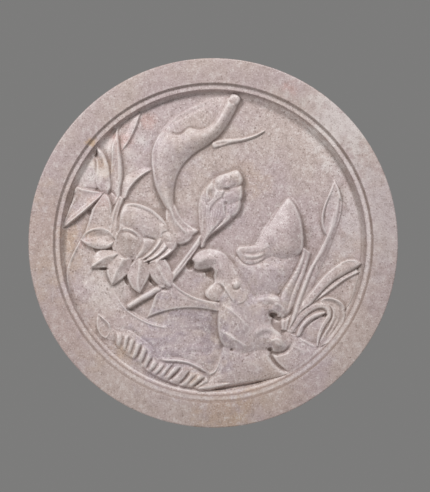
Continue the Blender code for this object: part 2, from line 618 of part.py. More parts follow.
def carved_sheet(collection):
    """The picture as a round sheet with a flat underside, let into the slab's socket."""
    sheet_mesh = bmesh.new()
    bmesh.ops.create_grid(sheet_mesh, x_segments=SHEET_CELLS, y_segments=SHEET_CELLS, size=1)
    rim_edges = [edge for edge in sheet_mesh.edges if edge.is_boundary]
    skirt = bmesh.ops.extrude_edge_only(sheet_mesh, edges=rim_edges)["geom"]
    skirt_edges = [item for item in skirt if isinstance(item, bmesh.types.BMEdge) and item.is_boundary]
    bmesh.ops.contextual_create(sheet_mesh, geom=skirt_edges)
    sheet_mesh.verts.index_update()
    lower = sorted({corner.index for edge in skirt_edges for corner in edge.verts})
    bmesh.ops.recalc_face_normals(sheet_mesh, faces=sheet_mesh.faces)
    mesh = bpy.data.meshes.new("Carved sheet")
    sheet_mesh.to_mesh(mesh)
    sheet_mesh.free()
    places = np.empty(3 * len(mesh.vertices))
    mesh.vertices.foreach_get("co", places)
    places = places.reshape(-1, 3)
    x = places[:, 0] * np.sqrt(1 - places[:, 1] ** 2 / 2) * SHEET_RADIUS / SQUARE
    y = places[:, 1] * np.sqrt(1 - places[:, 0] ** 2 / 2) * SHEET_RADIUS / SQUARE
    heights = GROUND_LEVEL + PART * carve_pond(x, y)
    heights[lower] = SHEET_UNDERSIDE
    mesh.vertices.foreach_set("co", np.column_stack([SQUARE * x, SQUARE * y, heights]).ravel())
    sheet = bpy.data.objects.new("Carved sheet", mesh)
    sheet.hide_render = True
    sheet.display_type = "WIRE"
    collection.objects.link(sheet)
    facets = sheet.modifiers.new("Facet", "DECIMATE")
    facets.ratio = CARVING_TRIANGLES / (2 * len(mesh.polygons))
    return sheet


def main():
    clear_scene()
    panel_parts = new_collection("Stone relief panel")
    helpers = new_collection("Carving helpers")
    helpers.hide_render = True
    slab = turned_slab(panel_parts)
    slab.data.materials.append(stone_material())
    union = slab.modifiers.new("Carved field", "BOOLEAN")
    union.operation = "UNION"
    union.solver = "EXACT"
    union.object = carved_sheet(helpers)
    for piece in (slab, union.object):
        piece.rotation_euler = (math.pi / 2, 0, 0)


main()
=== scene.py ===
"""The looks of the round stone relief panel: its carved face cut finer, and its waxed sandstone."""

import math

import bmesh
import bpy
import numpy as np
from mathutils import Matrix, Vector


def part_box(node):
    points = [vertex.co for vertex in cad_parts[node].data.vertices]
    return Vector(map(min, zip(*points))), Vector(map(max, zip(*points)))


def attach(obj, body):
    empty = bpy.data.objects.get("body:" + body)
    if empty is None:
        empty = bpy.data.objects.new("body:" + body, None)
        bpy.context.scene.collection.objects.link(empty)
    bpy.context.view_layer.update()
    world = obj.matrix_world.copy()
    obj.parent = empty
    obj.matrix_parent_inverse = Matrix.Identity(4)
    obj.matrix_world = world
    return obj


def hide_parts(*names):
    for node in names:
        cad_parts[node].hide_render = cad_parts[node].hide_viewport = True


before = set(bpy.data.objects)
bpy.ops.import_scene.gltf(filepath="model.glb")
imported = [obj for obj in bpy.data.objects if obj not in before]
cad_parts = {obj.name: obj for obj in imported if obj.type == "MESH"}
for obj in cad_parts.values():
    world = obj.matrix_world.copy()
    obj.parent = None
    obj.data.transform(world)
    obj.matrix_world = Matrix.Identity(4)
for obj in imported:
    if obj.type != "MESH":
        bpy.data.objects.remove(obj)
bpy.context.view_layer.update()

bl_info = {
    "name": "Stone Relief Panel",
    "version": (1, 0, 0),
    "blender": (4, 5, 0),
    "location": "3D View > Sidebar > Relief",
    "description": "Carves a round sandstone panel with a lotus pond in relief, on a plain stage",
    "category": "Add Mesh",
}

# The slab as the frame gives it, lying on its back while it is carved: up is then out of its front
SLAB_LOW, SLAB_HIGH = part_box("relief_panel")
PANEL_RADIUS = (SLAB_HIGH.x - SLAB_LOW.x) / 2
PANEL_THICKNESS = SLAB_HIGH.y - SLAB_LOW.y
MM = PANEL_THICKNESS / 50

# The drawing is squared up from the field's middle to its edge, with heights in parts of the relief
SQUARES = 148
PARTS = 11.0
DEEPEST = -2.4  # the lowest that the chisel goes below the ground, in parts
WALL = 0.9  # half the width of a carved wall, in squares
LINE_STEPS = 7  # from one given point of a smooth line to the next
TINY = 1e-9  # stands in for a width of nothing

# The photograph's frame, and the middle and the radius of the panel in it, in pixels
FRAME_WIDTH, FRAME_HEIGHT = 430, 492
PANEL_MIDDLE = (213.2, 242.9)
PANEL_PIXELS = 185.0
SQUARE = PANEL_RADIUS / PANEL_PIXELS  # the side of a square of the drawing on the front, in metres


class PanelSizes(bpy.types.PropertyGroup):
    """Sizes of the mouldings and of the carving"""

    rim_width: bpy.props.FloatProperty(
        name="Rim width", description="Flat rim round the field", default=30 * MM, unit="LENGTH"
    )
    step_width: bpy.props.FloatProperty(
        name="Step width", description="Run of the step inside the rim", default=2.2 * MM, unit="LENGTH"
    )
    step_depth: bpy.props.FloatProperty(
        name="Step depth", description="Drop of the step inside the rim", default=3.4 * MM, unit="LENGTH"
    )
    fillet_width: bpy.props.FloatProperty(
        name="Fillet width", description="Band between step and cove", default=5.6 * MM, unit="LENGTH"
    )
    cove_width: bpy.props.FloatProperty(
        name="Cove width", description="Hollow moulding down to the field", default=6.2 * MM, unit="LENGTH"
    )
    field_depth: bpy.props.FloatProperty(
        name="Field depth", description="Depth of the field below the rim", default=12 * MM, unit="LENGTH"
    )
    relief_height: bpy.props.FloatProperty(
        name="Relief height", description="Height of the tallest carving", default=11 * MM, unit="LENGTH"
    )
    front_arris: bpy.props.FloatProperty(
        name="Front arris", description="Radius of the rim's outer edge", default=2 * MM, unit="LENGTH"
    )
    back_chamfer: bpy.props.FloatProperty(
        name="Back chamfer", description="Chamfer round the back", default=1.2 * MM, unit="LENGTH"
    )
    worn_edge: bpy.props.FloatProperty(
        name="Worn edge", description="Rounding of the mouldings' edges", default=0.7 * MM, unit="LENGTH"
    )
    wear: bpy.props.IntProperty(
        name="Wear", description="How often the carving is rubbed down", default=1, min=0, max=20
    )
    face_triangles: bpy.props.IntProperty(
        name="Face triangles", description="Triangles in the face", default=178000, min=5000, max=180000
    )


class StoneColours(bpy.types.PropertyGroup):
    """Colours of the sandstone and its stains, and of the painted shade and painted highlight laid over it
    """

    beige: bpy.props.FloatVectorProperty(
        name="Beige", description="Main colour", subtype="COLOR", default=(0.528, 0.431, 0.402)
    )
    rose: bpy.props.FloatVectorProperty(
        name="Rose", description="Pinker clouds in the stone", subtype="COLOR", default=(0.494, 0.396, 0.400)
    )
    # Pale grains, and also painted highlight on carved edges, along the turned mouldings and on a few pale
    # patches
    pale_grain_and_highlight: bpy.props.FloatVectorProperty(
        name="Pale grain", description="Pale grains", subtype="COLOR", default=(0.800, 0.750, 0.730)
    )
    dark_grain: bpy.props.FloatVectorProperty(
        name="Dark grain", description="Dark specks", subtype="COLOR", default=(0.200, 0.145, 0.125)
    )
    ochre: bpy.props.FloatVectorProperty(
        name="Ochre", description="Iron stains", subtype="COLOR", default=(0.520, 0.350, 0.210)
    )
    pink: bpy.props.FloatVectorProperty(
        name="Pink", description="Pink stains", subtype="COLOR", default=(0.560, 0.330, 0.300)
    )
    slate: bpy.props.FloatVectorProperty(
        name="Slate", description="Grey bloom in the pool", subtype="COLOR", default=(0.450, 0.375, 0.425)
    )
    # Dust in the hollows and streaks in the pool's bed, and also painted shade: darkens hollows, crevices,
    # turned grooves, drilled pits and the lower rim
    dust_and_painted_shade: bpy.props.FloatVectorProperty(
        name="Hollow dirt", description="Dust in the hollows", subtype="COLOR", default=(0.215, 0.155, 0.130)
    )
    floor: bpy.props.FloatVectorProperty(
        name="Floor", description="Floor and surroundings", subtype="COLOR", default=(0.780, 0.775, 0.765)
    )


def ease(low, high, value):
    """0 below low, 1 above high and a smooth rise between."""
    share = np.clip((value - low) / (high - low), 0.0, 1.0)
    return share * share * (3 - 2 * share)


def spline(p0, p1, p2, p3, t):
    """A smooth curve's stretch from p1 to p2."""
    start = 2 * p1 + (p2 - p0) * t
    bend = (2 * p0 - 5 * p1 + 4 * p2 - p3) * t**2
    end = (3 * p1 - p0 - 3 * p2 + p3) * t**3
    return (start + bend + end) / 2


def curve(points):
    """A smooth line through the points."""
    points = np.asarray(points, float)
    ends = np.vstack([2 * points[0] - points[1], points, 2 * points[-1] - points[-2]])
    t = np.linspace(0, 1, LINE_STEPS, endpoint=False)[:, None]
    spans = [spline(*ends[i : i + 4], t) for i in range(len(points) - 1)]
    return np.vstack([*spans, points[-1:]])


def loop(points):
    """A smooth closed outline through the points."""
    points = np.asarray(points, float)
    around = np.vstack([points[-1:], points, points[:2]])
    t = np.linspace(0, 1, LINE_STEPS, endpoint=False)[:, None]
    return np.vstack([spline(*around[i : i + 4], t) for i in range(len(points))])


def profile(share, values):
    """A smooth curve through values at even shares from 0 to 1."""
    values = np.asarray(values, float)
    spans = len(values) - 1
    ends = np.concatenate([[2 * values[0] - values[1]], values, [2 * values[-1] - values[-2]]])
    span = np.clip((share * spans).astype(int), 0, spans - 1)
    t = np.clip(share * spans - span, 0, 1)
    return spline(ends[span], ends[span + 1], ends[span + 2], ends[span + 3], t)


class Carving:
    """Heights over the ground, in parts, at points given in squares from the panel's middle."""

    def __init__(self, x, y):
        self.x = x
        self.y = y
        self.height = np.zeros_like(x)

    def near(self, line, margin):
        """Which points lie in the line's own box or within the margin of it."""
        low = line.min(axis=0) - margin
        high = line.max(axis=0) + margin
        beside = (self.x > low[0]) & (self.x < high[0])
        return np.flatnonzero(beside & (self.y > low[1]) & (self.y < high[1]))

    def from_line(self, at, line):
        """Distance from the line, the share of its length there, and 1 on its left or -1 on its right."""
        x, y = self.x[at], self.y[at]
        lengths = np.hypot(*np.diff(line, axis=0).T)
        starts = np.concatenate([[0], np.cumsum(lengths)])
        nearest = np.full(len(at), np.inf)
        along = np.zeros(len(at))
        side = np.ones(len(at))
        for (ax, ay), (bx, by), length, start in zip(line, line[1:], lengths, starts):
            if length == 0:
                continue
            t = np.clip(((x - ax) * (bx - ax) + (y - ay) * (by - ay)) / length**2, 0, 1)
            gap = np.hypot(x - ax - t * (bx - ax), y - ay - t * (by - ay))
            nearer = gap < nearest
            along = np.where(nearer, start + t * length, along)
            side = np.where(nearer, np.sign((bx - ax) * (y - ay) - (by - ay) * (x - ax)), side)
            nearest = np.minimum(gap, nearest)
        return nearest, along / starts[-1], side

    def depth_inside(self, at, outline):
        """Distance in from the closed outline, negative outside it."""
        x, y = self.x[at], self.y[at]
        closed = np.vstack([outline, outline[:1]])
        within = np.zeros(len(at), bool)
        for (ax, ay), (bx, by) in zip(closed, closed[1:]):
            if ay != by:
                within ^= ((ay > y) != (by > y)) & (x < (y - ay) * (bx - ax) / (by - ay) + ax)
        gap, _, _ = self.from_line(at, closed)
        return np.where(within, gap, -gap)

    def lay(self, at, depth, form, wall, keep_higher=False):
        """Lays a form over what is there, within a wall of twice the given width."""
        old = self.height[at]
        new = np.maximum(old, form) if keep_higher else form
        self.height[at] = old + (new - old) * ease(-wall, wall, depth)

    def blade(self, one_side, other_side, level, across, full_width, wall=WALL, keep_higher=False):
        """A leaf between two side curves, its heights across given from the one side to the other."""
        one = curve(one_side)
        other = curve(other_side)
        outline = np.vstack([one, other[::-1]])
        at = self.near(outline, 2 * wall)
        to_one, _, _ = self.from_line(at, one)
        to_other, _, _ = self.from_line(at, other)
        width = to_one + to_other + TINY
        form = level + profile(to_one / width, across) * np.minimum(1, width / full_width)
        self.lay(at, self.depth_inside(at, outline), form, wall, keep_higher)

    def rod(self, points, half_widths, level, crown):
        """A round stem along a line, its half widths given at even shares of it."""
        line = curve(points)
        at = self.near(line, max(half_widths) + 2 * WALL)
        gap, along, _ = self.from_line(at, line)
        half = profile(along, half_widths)
        form = level + crown * np.sqrt(np.clip(1 - (gap / half) ** 2, 0, 1))
        self.lay(at, half - gap, form, WALL)

    def pad(self, points, level, crown, roll, wall=WALL, lean=0.0, keep_higher=False):
        """A cushion in a closed outline, rounded over a roll at its edge and leaning up to the right."""
        outline = loop(points)
        at = self.near(outline, 2 * wall)
        depth = self.depth_inside(at, outline)
        inward = np.clip(depth / roll, 0, 1)
        form = level + crown * (1 - (1 - inward) ** 2) + lean * (self.x[at] - outline[:, 0].mean())
        self.lay(at, depth, form, wall, keep_higher)

    def off_centre(self, centre, half_sizes, turn):
        """Distance from the centre of a turned ellipse, 1 on the ellipse."""
        cosine, sine = math.cos(math.radians(turn)), math.sin(math.radians(turn))
        x, y = self.x - centre[0], self.y - centre[1]
        return np.hypot((x * cosine + y * sine) / half_sizes[0], (y * cosine - x * sine) / half_sizes[1])

    def swell(self, centre, half_sizes, rise, turn=0):
        """A soft rise, or a hollow where rise is negative, with no edge."""
        self.height += rise * np.clip(1 - self.off_centre(centre, half_sizes, turn) ** 2, 0, 1) ** 2

    def pit(self, centre, half_sizes, drop, turn=0):
        """A drilled hollow with steep sides."""
        self.height -= drop * (1 - ease(0.35, 1.25, self.off_centre(centre, half_sizes, turn)))

    def crease(self, points, width, rise):
        """A ridge along a line, or a groove where rise is negative, dying away at both ends."""
        line = curve(points)
        at = self.near(line, 2.2 * width)
        gap, along, _ = self.from_line(at, line)
        fade = ease(0, 0.3, along) * ease(0, 0.3, 1 - along)
        self.height[at] += rise * fade * np.exp(-((gap / width) ** 2))

    def lip(self, points, fall, rise, width=0.8):
        """A step along a line, on its left as it runs, that dies away over the fall and at both ends."""
        line = curve(points)
        at = self.near(line, 3 * fall)
        gap, along, side = self.from_line(at, line)
        inward = gap * side
        fade = ease(0, 0.2, along) * ease(0, 0.2, 1 - along)
        self.height[at] += rise * fade * ease(-width, width, inward) * np.exp(-np.maximum(inward, 0) / fall)


def carve_ground(carving):
    """The uneven ground, a little deeper between the plants, and cut back under the cove."""
    carving.height += 0.3 * np.sin(carving.x * 0.05 + 1) * np.cos(carving.y * 0.045)
    carving.swell((-137, 11), (24, 34), -1.4)
    carving.swell((-17, -42), (24, 20), -1.2)
    carving.swell((-63, 53), (26, 22), -0.8)
    carving.swell((127, -47), (26, 30), -0.8)
    carving.height -= 1.6 * ease(SQUARES, SQUARES + 4, np.hypot(carving.x, carving.y))


# The grooves between the grass blades: the top and the foot of each, and how deep it is cut
GRASS_GROOVES = [
    ((-98, -88), (-99, -104), 1.2),
    ((-90, -90), (-93, -108), 1.5),
    ((-83, -92), (-87, -110), 2.1),
    ((-77, -96), (-83, -115), 1.9),
    ((-71, -100), (-79, -119), 2.7),
    ((-65, -106), (-72, -124), 2.2),
    ((-60, -114), (-67, -128), 2.4),
    ((-54, -119), (-63, -131), 1.5),
    ((-46, -120), (-58, -134), 1.9),
    ((-38, -120), (-50, -136), 2.1),
    ((-30, -123), (-46, -139), 2.8),
    ((-22, -127), (-36, -143.5), 2.9),
    ((-14, -130), (-27, -144), 1.1),
    ((-6, -133.5), (-22, -146), 2.6),
]


def carve_grass(carving):
    """A row of short uneven blades, upright at the left and leaning at the right."""
    left_top = [(-103, -84), (-97, -87), (-90, -88.5), (-83, -90), (-76, -95), (-70, -99.5), (-64, -104)]
    right_top = [
        (-60, -110), (-56, -117.5), (-45, -119.5), (-35, -120),
        (-25, -122), (-17, -127), (-9, -132),
    ]
    right_foot = [(-4, -139), (-12, -145), (-24, -145), (-36, -142.5), (-48, -138)]
    left_foot = [(-59, -133), (-68, -127), (-77, -118), (-88, -112), (-97, -102), (-104, -94)]
    carving.pad(left_top + right_top + right_foot + left_foot, 2.2, 2.4, 8, wall=1.4)
    carving.crease([(x + 0.8, y + 2.6) for x, y in left_top + right_top[:3]], 1.8, -1.4)
    grooves = []
    for number, (top, foot, drop) in enumerate(GRASS_GROOVES):
        bow = 0.3 + 0.7 * math.sin(1.9 * number)
        bend = ((top[0] + foot[0]) / 2 + bow, (top[1] + foot[1]) / 2 - 0.4 * bow)
        grooves.append((top, bend, foot))
        carving.crease(grooves[-1], 1.3, -1.2 * drop)
    for number, (one, other) in enumerate(zip(grooves, grooves[1:])):
        crest = [((a[0] + b[0]) / 2, (a[1] + b[1]) / 2) for a, b in zip(one, other)]
        carving.crease(crest, 2.4, 0.9 + 0.5 * math.sin(2.3 * number))
    carving.swell((-95, -99), (4, 5), 0.9)
    carving.swell((-86, -106), (4, 5), 1.0)
    carving.swell((-14, -134), (8, 5), 1.4, turn=-25)
    carving.crease([(-52, -139), (-40, -143.5), (-28, -146.5), (-14, -149)], 1.8, -0.9)


def carve_pool(carving):
    """The hollow of the pool behind the grass, its rippled bed and its raised edge."""
    carving.swell((-20, -103), (46, 22), -2.4, turn=-8)
    for ripple in range(5):
        y = -89 - 5.4 * ripple + 1.4 * math.sin(2.1 * ripple)
        left, right = -62 + 6 * ripple + 5 * math.sin(1.3 * ripple), -4 - 6 * math.cos(1.7 * ripple)
        middle = (left + right) / 2
        carving.crease([(left, y + 2.5), (middle, y), (right, y + 1)], 1.9, -0.3)
    carving.crease(
        [
            (-60, -113), (-48, -117), (-36, -117.5), (-25, -119.5),
            (-15, -124), (-7, -129), (-3, -130), (1, -128),
        ],
        1.6, 2.8,
    )
    carving.crease([(-52, -114), (-40, -114), (-28, -116), (-17, -120), (-8, -125)], 3.0, -1.2)
    carving.crease([(-7, -130), (-2, -131), (3, -127), (7, -118), (9, -106)], 1.6, 2.8)
    carving.crease([(-3, -125), (1, -120), (4, -112)], 2.6, -1.0)


def carve_mound(carving):
    """The mound at the lower left, with the crest that parts it from the ground behind."""
    crest = [
        (-102, -42), (-97, -52), (-91, -62), (-84, -69),
        (-75, -75), (-64, -80.5), (-52, -83.5), (-38, -85),
    ]
    behind_pool = [(-22, -87), (-8, -90), (4, -94)]
    foot = [
        (8, -108), (2, -127), (-12, -132), (-30, -138),
        (-60, -134), (-90, -116), (-126, -84), (-148, -44),
    ]
    back = [(-152, -16), (-136, -20), (-118, -28)]
    carving.pad(crest + behind_pool + foot + back, 0.0, 3.6, 32, wall=1.6, keep_higher=True)
    carving.lip(crest, 14, -1.2, width=0.7)
    carving.crease(crest, 1.4, 1.9)
    carving.crease([(-99, -42), (-93, -52), (-87, -61), (-80, -68), (-71, -73), (-60, -77)], 2.8, -1.0)


def carve_small_leaf(carving):
    """The small curled leaf at the left end of the grass."""
    carving.blade(
        [(-115.5, -71), (-116.5, -79), (-115.5, -87), (-112, -93), (-107, -96)],
        [(-115.5, -71), (-110, -75.5), (-105, -80.5), (-102.5, -87), (-107, -96)],
        3.4, (1.4, 0.4, -0.6, -1.4, 0.8), 5,
    )
    carving.crease([(-115, -71.5), (-109, -76), (-104, -81.5), (-102, -88)], 1.0, 1.6)
    carving.crease([(-116, -73), (-116.5, -81), (-114.5, -89)], 1.0, 0.9)
    carving.crease([(-108, -73), (-101, -80), (-98.5, -88)], 1.6, -1.1)


def carve_banks(carving):
    """The bank under the reeds and the bank in front of the rock, undercut at the cove."""
    right_bank_top = [(59, -107), (72, -90), (82, -92), (92, -97), (102, -102), (118, -108)]
    right_bank_foot = [(109, -123), (92, -133), (76, -131), (66, -123)]
    carving.pad(right_bank_top + right_bank_foot, 1.4, 2.6, 14, wall=1.2)
    carving.crease([(74, -89), (80, -92), (86, -94)], 1.0, 1.0)
    carving.crease([(86, -95.5), (92, -98.5), (98, -102), (104, -104)], 1.1, 1.5)
    carving.crease([(79, -101), (86, -106), (95, -110)], 1.6, 0.8)
    near_bank = [
        (10, -104), (23, -97), (49, -97), (57, -107), (60, -116), (67, -124), (76, -130),
        (68, -134), (40, -140.5), (14, -145), (-8, -149), (-15, -146), (-4, -138), (5, -125),
    ]
    carving.pad(near_bank, 2.0, 3.8, 24, wall=1.4)
    carving.swell((40, -118), (30, 16), 0.8)
    carving.blade(
        [(-17, -146), (-8, -142), (4, -139.5), (16, -139.5)],
        [(-17, -146), (-6, -148), (6, -146), (17, -142)],
        2.4, (0.4, 2.0, 1.6, -0.8), 4,
    )
    carving.crease([(-19, -149.5), (-5, -149), (10, -146), (30, -142.5), (50, -139), (70, -133)], 2.2, -3.0)
    carving.crease([(56, -107), (58, -114), (62, -120), (68, -125.5), (77, -131)], 1.5, -3.4)
    carving.crease([(52, -108), (54, -115), (58, -122), (65, -128)], 2.6, 0.9)


def carve_water_edge(carving):
    """Everything along the water's edge, from the mound to the bank under the reeds."""
    carve_mound(carving)
    carve_pool(carving)
    carve_grass(carving)
    carve_small_leaf(carving)
    carve_banks(carving)


def carve_low_leaf(carving):
    """The broad leaf that hangs at the far left, down to the cove."""
    carving.blade(
        [(-133, 3), (-138, -6), (-142, -14), (-146, -24), (-147, -37), (-143, -55)],
        [(-133, 3), (-119, -7), (-119, -19), (-121, -27), (-127, -39), (-135, -55), (-143, -55)],
        1.0, (2.6, 1.2, 0.8, 0.9, 1.0), 10,
    )
    carving.crease([(-131, 12), (-133, 4), (-137, -5), (-141, -14), (-145, -25)], 1.1, 1.4)


def carve_upper_leaves(carving):
    """The leaf that bends away at the top of the clump, and the flat one behind the sickle leaf."""
    carving.blade(
        [(-71, 133), (-84, 126), (-92, 116), (-95, 106), (-92, 92)],
        [(-71, 133), (-74, 126), (-77, 117), (-81, 108), (-86, 99), (-92, 92)],
        0.6, (0.2, 0.6, 1.8, 2.8), 6,
    )
    carving.crease([(-78, 126), (-84, 117), (-88, 106)], 2.0, -0.7)
    carving.blade(
        [(-120, 93), (-129, 79), (-135, 66), (-137, 55)],
        [(-120, 93), (-119, 82), (-118, 68), (-118, 53), (-137, 55)],
        0.0, (0.4, 0.6, 1.2, 1.4), 10,
    )


def carve_sickle_leaf(carving):
    """The tall upright leaf and the sickle leaf beside it, with the deep gaps at their tips."""
    carving.blade(
        [(-96, 119), (-100, 108), (-104, 100), (-107, 92), (-104, 80), (-103, 68), (-103, 52), (-101, 37)],
        [(-96, 119), (-94.5, 106), (-93.5, 94), (-91.5, 80), (-91, 66), (-92.5, 51), (-92, 43), (-101, 37)],
        1.0, (0.0, 1.2, 3.6, 4.2, 3.0), 8,
    )
    carving.crease([(-98, 108), (-100.5, 98), (-101, 86), (-101.5, 70), (-101.5, 58)], 1.0, 1.7)
    carving.crease([(-96, 108), (-97.5, 96), (-97, 84), (-97, 70), (-97, 54)], 1.5, -1.5)
    carving.blade(
        [(-119, 97.5), (-118, 88), (-117, 75), (-118, 63), (-115, 54), (-106, 48)],
        [(-119, 97.5), (-113, 93.5), (-107.5, 86), (-104, 76), (-103, 65), (-102.5, 55), (-106, 48)],
        1.6, (1.0, 1.4, 2.6, 3.4, 2.2), 7,
    )
    carving.crease([(-114, 90), (-112, 78), (-112, 64)], 2.4, -0.9)
    carving.pit((-98.5, 114), (2.2, 4.6), 2.6, turn=-30)
    carving.pit((-117.7, 90), (2.4, 6.0), 4.4, turn=16)


def carve_drooping_leaves(carving):
    """The stem and the leaf that run down behind the flower."""
    carving.blade(
        [(-92, 52), (-96, 43), (-101, 31), (-104, 17), (-105, 3)],
        [(-88, 50), (-90, 42), (-93, 35), (-95, 25), (-97, 13), (-97, 3)],
        2.6, (0.8, 1.9, 1.5, 1.9, 0.4), 6,
    )
    carving.crease([(-91, 44), (-95, 34), (-98, 24), (-100, 12)], 1.4, -1.3)
    carving.blade(
        [(-109, 50), (-116, 41), (-122, 32), (-125, 21), (-128, 12), (-132, 3)],
        [(-109, 50), (-105, 46), (-102, 37), (-101.5, 24), (-104, 11), (-117, 7), (-132, 3)],
        1.8, (1.6, 1.0, 1.2, 1.8, 1.8), 9,
    )
    carving.crease([(-108, 50), (-104.5, 45), (-102.5, 37), (-102, 27)], 1.2, 1.8)
    carving.crease([(-104, 52), (-99, 49), (-96, 44)], 1.2, -1.2)


def carve_folded_leaf(carving):
    """The leaf that lies across the clump to the cove, thick along its lower edge."""
    carving.blade(
        [(-109, 50.5), (-120, 52), (-130, 54), (-137.5, 55.5), (-142, 41), (-147, 27), (-154, 12)],
        [(-109, 50.5), (-116, 43), (-125, 34.5), (-134, 27), (-143, 20), (-154, 12)],
        2.2, (2.0, 0.4, 0.6, 1.4, 3.0), 8,
    )
    carving.crease([(-110, 49.5), (-122, 39), (-135, 28), (-151, 15)], 2.0, 2.0)
    carving.crease([(-110, 53.5), (-120, 54), (-130, 56)], 1.2, -1.2)
    carving.pit((-124, 30.5), (2.2, 3.4), 3.2)
    carving.crease([(-137.5, 53), (-141, 45), (-145, 36)], 2.0, -3.4)


def carve_arched_leaf(carving):
    """The leaf that arches over from the clump to the great leaf."""
    carving.blade(
        [(-93, 47), (-92, 59), (-86, 67), (-77, 71.5), (-68, 75.5), (-60, 74)],
        [(-93, 47), (-88, 44.5), (-84, 53), (-78, 61), (-70, 68), (-60, 74)],
        0.8, (0.0, 1.2, 3.2, 4.2), 8,
    )
    carving.crease([(-90, 56), (-85, 63), (-77, 68.5)], 2.0, 0.8)


def carve_left_reeds(carving):
    """The clump at the left: broad leaves crossing, a sickle leaf and stems running behind the flower."""
    carve_low_leaf(carving)
    carve_upper_leaves(carving)
    carve_sickle_leaf(carving)
    carve_drooping_leaves(carving)
    carve_folded_leaf(carving)
    carve_arched_leaf(carving)


def carve_tall_reed(carving):
    """The tallest reed, with the leaf that stands up from it."""
    carving.blade(
        [(121.5, 63), (117, 52), (112, 40), (108.5, 28), (109, 16), (115, 5)],
        [(121.5, 63), (126.5, 52), (128.5, 39), (126.5, 25), (122, 13), (115, 5)],
        1.6, (2.6, 1.0, 0.8, 1.6, 3.2), 7,
    )
    carving.crease([(121, 60), (116, 48), (111, 36), (109, 25), (110, 15), (114, 7)], 1.1, 1.5)
    carving.crease([(118, 48), (113.5, 38), (111.5, 26), (113, 15)], 1.1, -1.4)
    carving.blade(
        [
            (124, 47), (122.5, 34), (119, 20), (113, 6), (107, -6),
            (100, -18), (94, -29), (88, -44), (81, -64), (74, -89),
        ],
        [
            (128.5, 42), (127.5, 30), (124, 15), (119, 1), (114, -12),
            (107, -27), (100, -44), (92, -66), (83, -90),
        ],
        1.4, (1.6, 3.4, 2.4, 0.6, -0.4), 9,
    )
    carving.crease([(123, 40), (120, 24), (115, 9), (108, -5), (101, -18)], 1.0, 1.2)
    carving.crease([(110, -10), (104, -20), (98, -34), (92, -50), (85, -70)], 1.6, -1.5)


def carve_cut_reed(carving):
    """The reed cut off short behind the hooded leaf, with small knots along it."""
    carving.blade(
        [(89, -4), (87, -15), (82, -27), (75, -39), (68, -51), (67, -69), (68, -87)],
        [(98, -10.5), (94.5, -22), (90.5, -36), (85, -50), (79, -68), (74, -88)],
        1.6, (1.2, 3.2, 2.2, 2.0, 0.2), 9,
    )
    carving.crease([(93, -12), (89, -26), (83, -40), (77, -56), (72, -76)], 1.1, -1.2)
    carving.crease([(88.5, -4), (93, -7), (98.5, -11)], 1.1, 1.6)
    for knot in range(7):
        carving.swell((86 - 2.2 * knot, -22 - 4.0 * knot), (2.6, 2.4), 0.8)


def carve_long_blade(carving):
    """The long blade that bows out to the cove, and the thinner one under it."""
    carving.blade(
        [
            (149, -19.5), (140, -16.5), (131, -18), (122, -23.5), (113, -31),
            (104, -41), (94, -54), (85, -68), (78, -86),
        ],
        [
            (149, -21.5), (140, -27), (131, -32), (121, -38), (112, -46),
            (103, -56), (95, -66), (88, -76), (79, -88),
        ],
        1.8, (1.6, 2.2, 2.8, 2.8, 1.0), 7,
    )
    carving.crease([(128, -20), (136, -17.5), (146, -18.5)], 1.0, 1.0)
    carving.blade(
        [(148, -24), (139, -28.5), (130, -33), (120, -39.5), (110, -48), (102, -57)],
        [(148, -29.5), (140, -33), (131, -38), (121, -45.5), (112, -52), (102, -59)],
        0.8, (0.2, 0.6, 1.6, 0.6), 4,
    )
    carving.pit((146.5, -26.8), (3.0, 2.4), 2.6)


def carve_bent_leaves(carving):
    """The leaf bent over at the cove, the two within its bend, and the sliver of leaf above."""
    carving.blade(
        [(105, -61), (113, -62), (118.5, -66), (119.5, -74), (115, -84), (109, -94), (104, -106)],
        [
            (105, -61), (110, -55.5), (118, -54.5), (127, -58), (132, -66),
            (131.5, -78), (126, -89), (117, -99), (104, -106),
        ],
        1.4, (2.0, 1.2, 1.0, 1.6, 3.0), 8,
    )
    carving.crease([(108, -57), (114, -55.5), (121, -56.5), (128, -60.5), (131, -66)], 1.1, 1.8)
    carving.crease([(121, -60), (127, -65), (127, -77), (121, -88), (114, -97)], 1.4, -1.4)
    carving.crease([(119, -68), (123, -75), (119, -85), (112, -96)], 1.2, -1.2)
    carving.pit((132, -68), (1.8, 2.2), 2.0)
    rising = [(78, -88), (84, -79), (90, -71.5), (97, -66), (104, -63)]
    bent_over = [(111, -63), (115.5, -67), (115.5, -74), (110.5, -82), (106, -92), (104, -103)]
    carving.rod(rising + bent_over, [2.6, 3.0, 3.4, 3.2, 2.8, 2.6, 2.4, 2.0, 1.2], 1.4, 1.8)
    inner_leaf = [(85, -92), (89, -84.5), (96, -77), (104, -72), (111, -70)]
    carving.rod(inner_leaf, [2.4, 2.8, 3.0, 2.6, 1.4], 1.2, 2.4)
    carving.blade(
        [(146, -30), (141.5, -42), (138, -54), (133, -66)],
        [(146, -30), (146, -44), (141, -57), (133, -66)],
        0.2, (1.8, 1.2, 0.4), 3,
    )
    carving.crease([(88, -89), (94, -82), (101, -76.5), (108, -73.5)], 1.4, -1.8)
    carving.pit((112, -72.5), (2.6, 2.0), 2.6)


def carve_right_reeds(carving):
    """The clump at the right: a reed with its leaf, a cut reed, a long blade and leaves bent over."""
    carve_tall_reed(carving)
    carve_cut_reed(carving)
    carve_long_blade(carving)
    carve_bent_leaves(carving)


def carve_leaf_foot(carving):
    """The foot of the great leaf, flaring to the right."""
    carving.pad(
        [
            (-47, 34), (-42, 39), (-38.5, 38), (-34, 28), (-28, 21), (-21, 16), (-15.5, 13),
            (-16, 10.5), (-20, 8), (-22.5, 3.5), (-27, 0), (-34, -1.5), (-41, 2), (-46, 12), (-48, 24),
        ],
        3.2, 2.4, 8,
    )


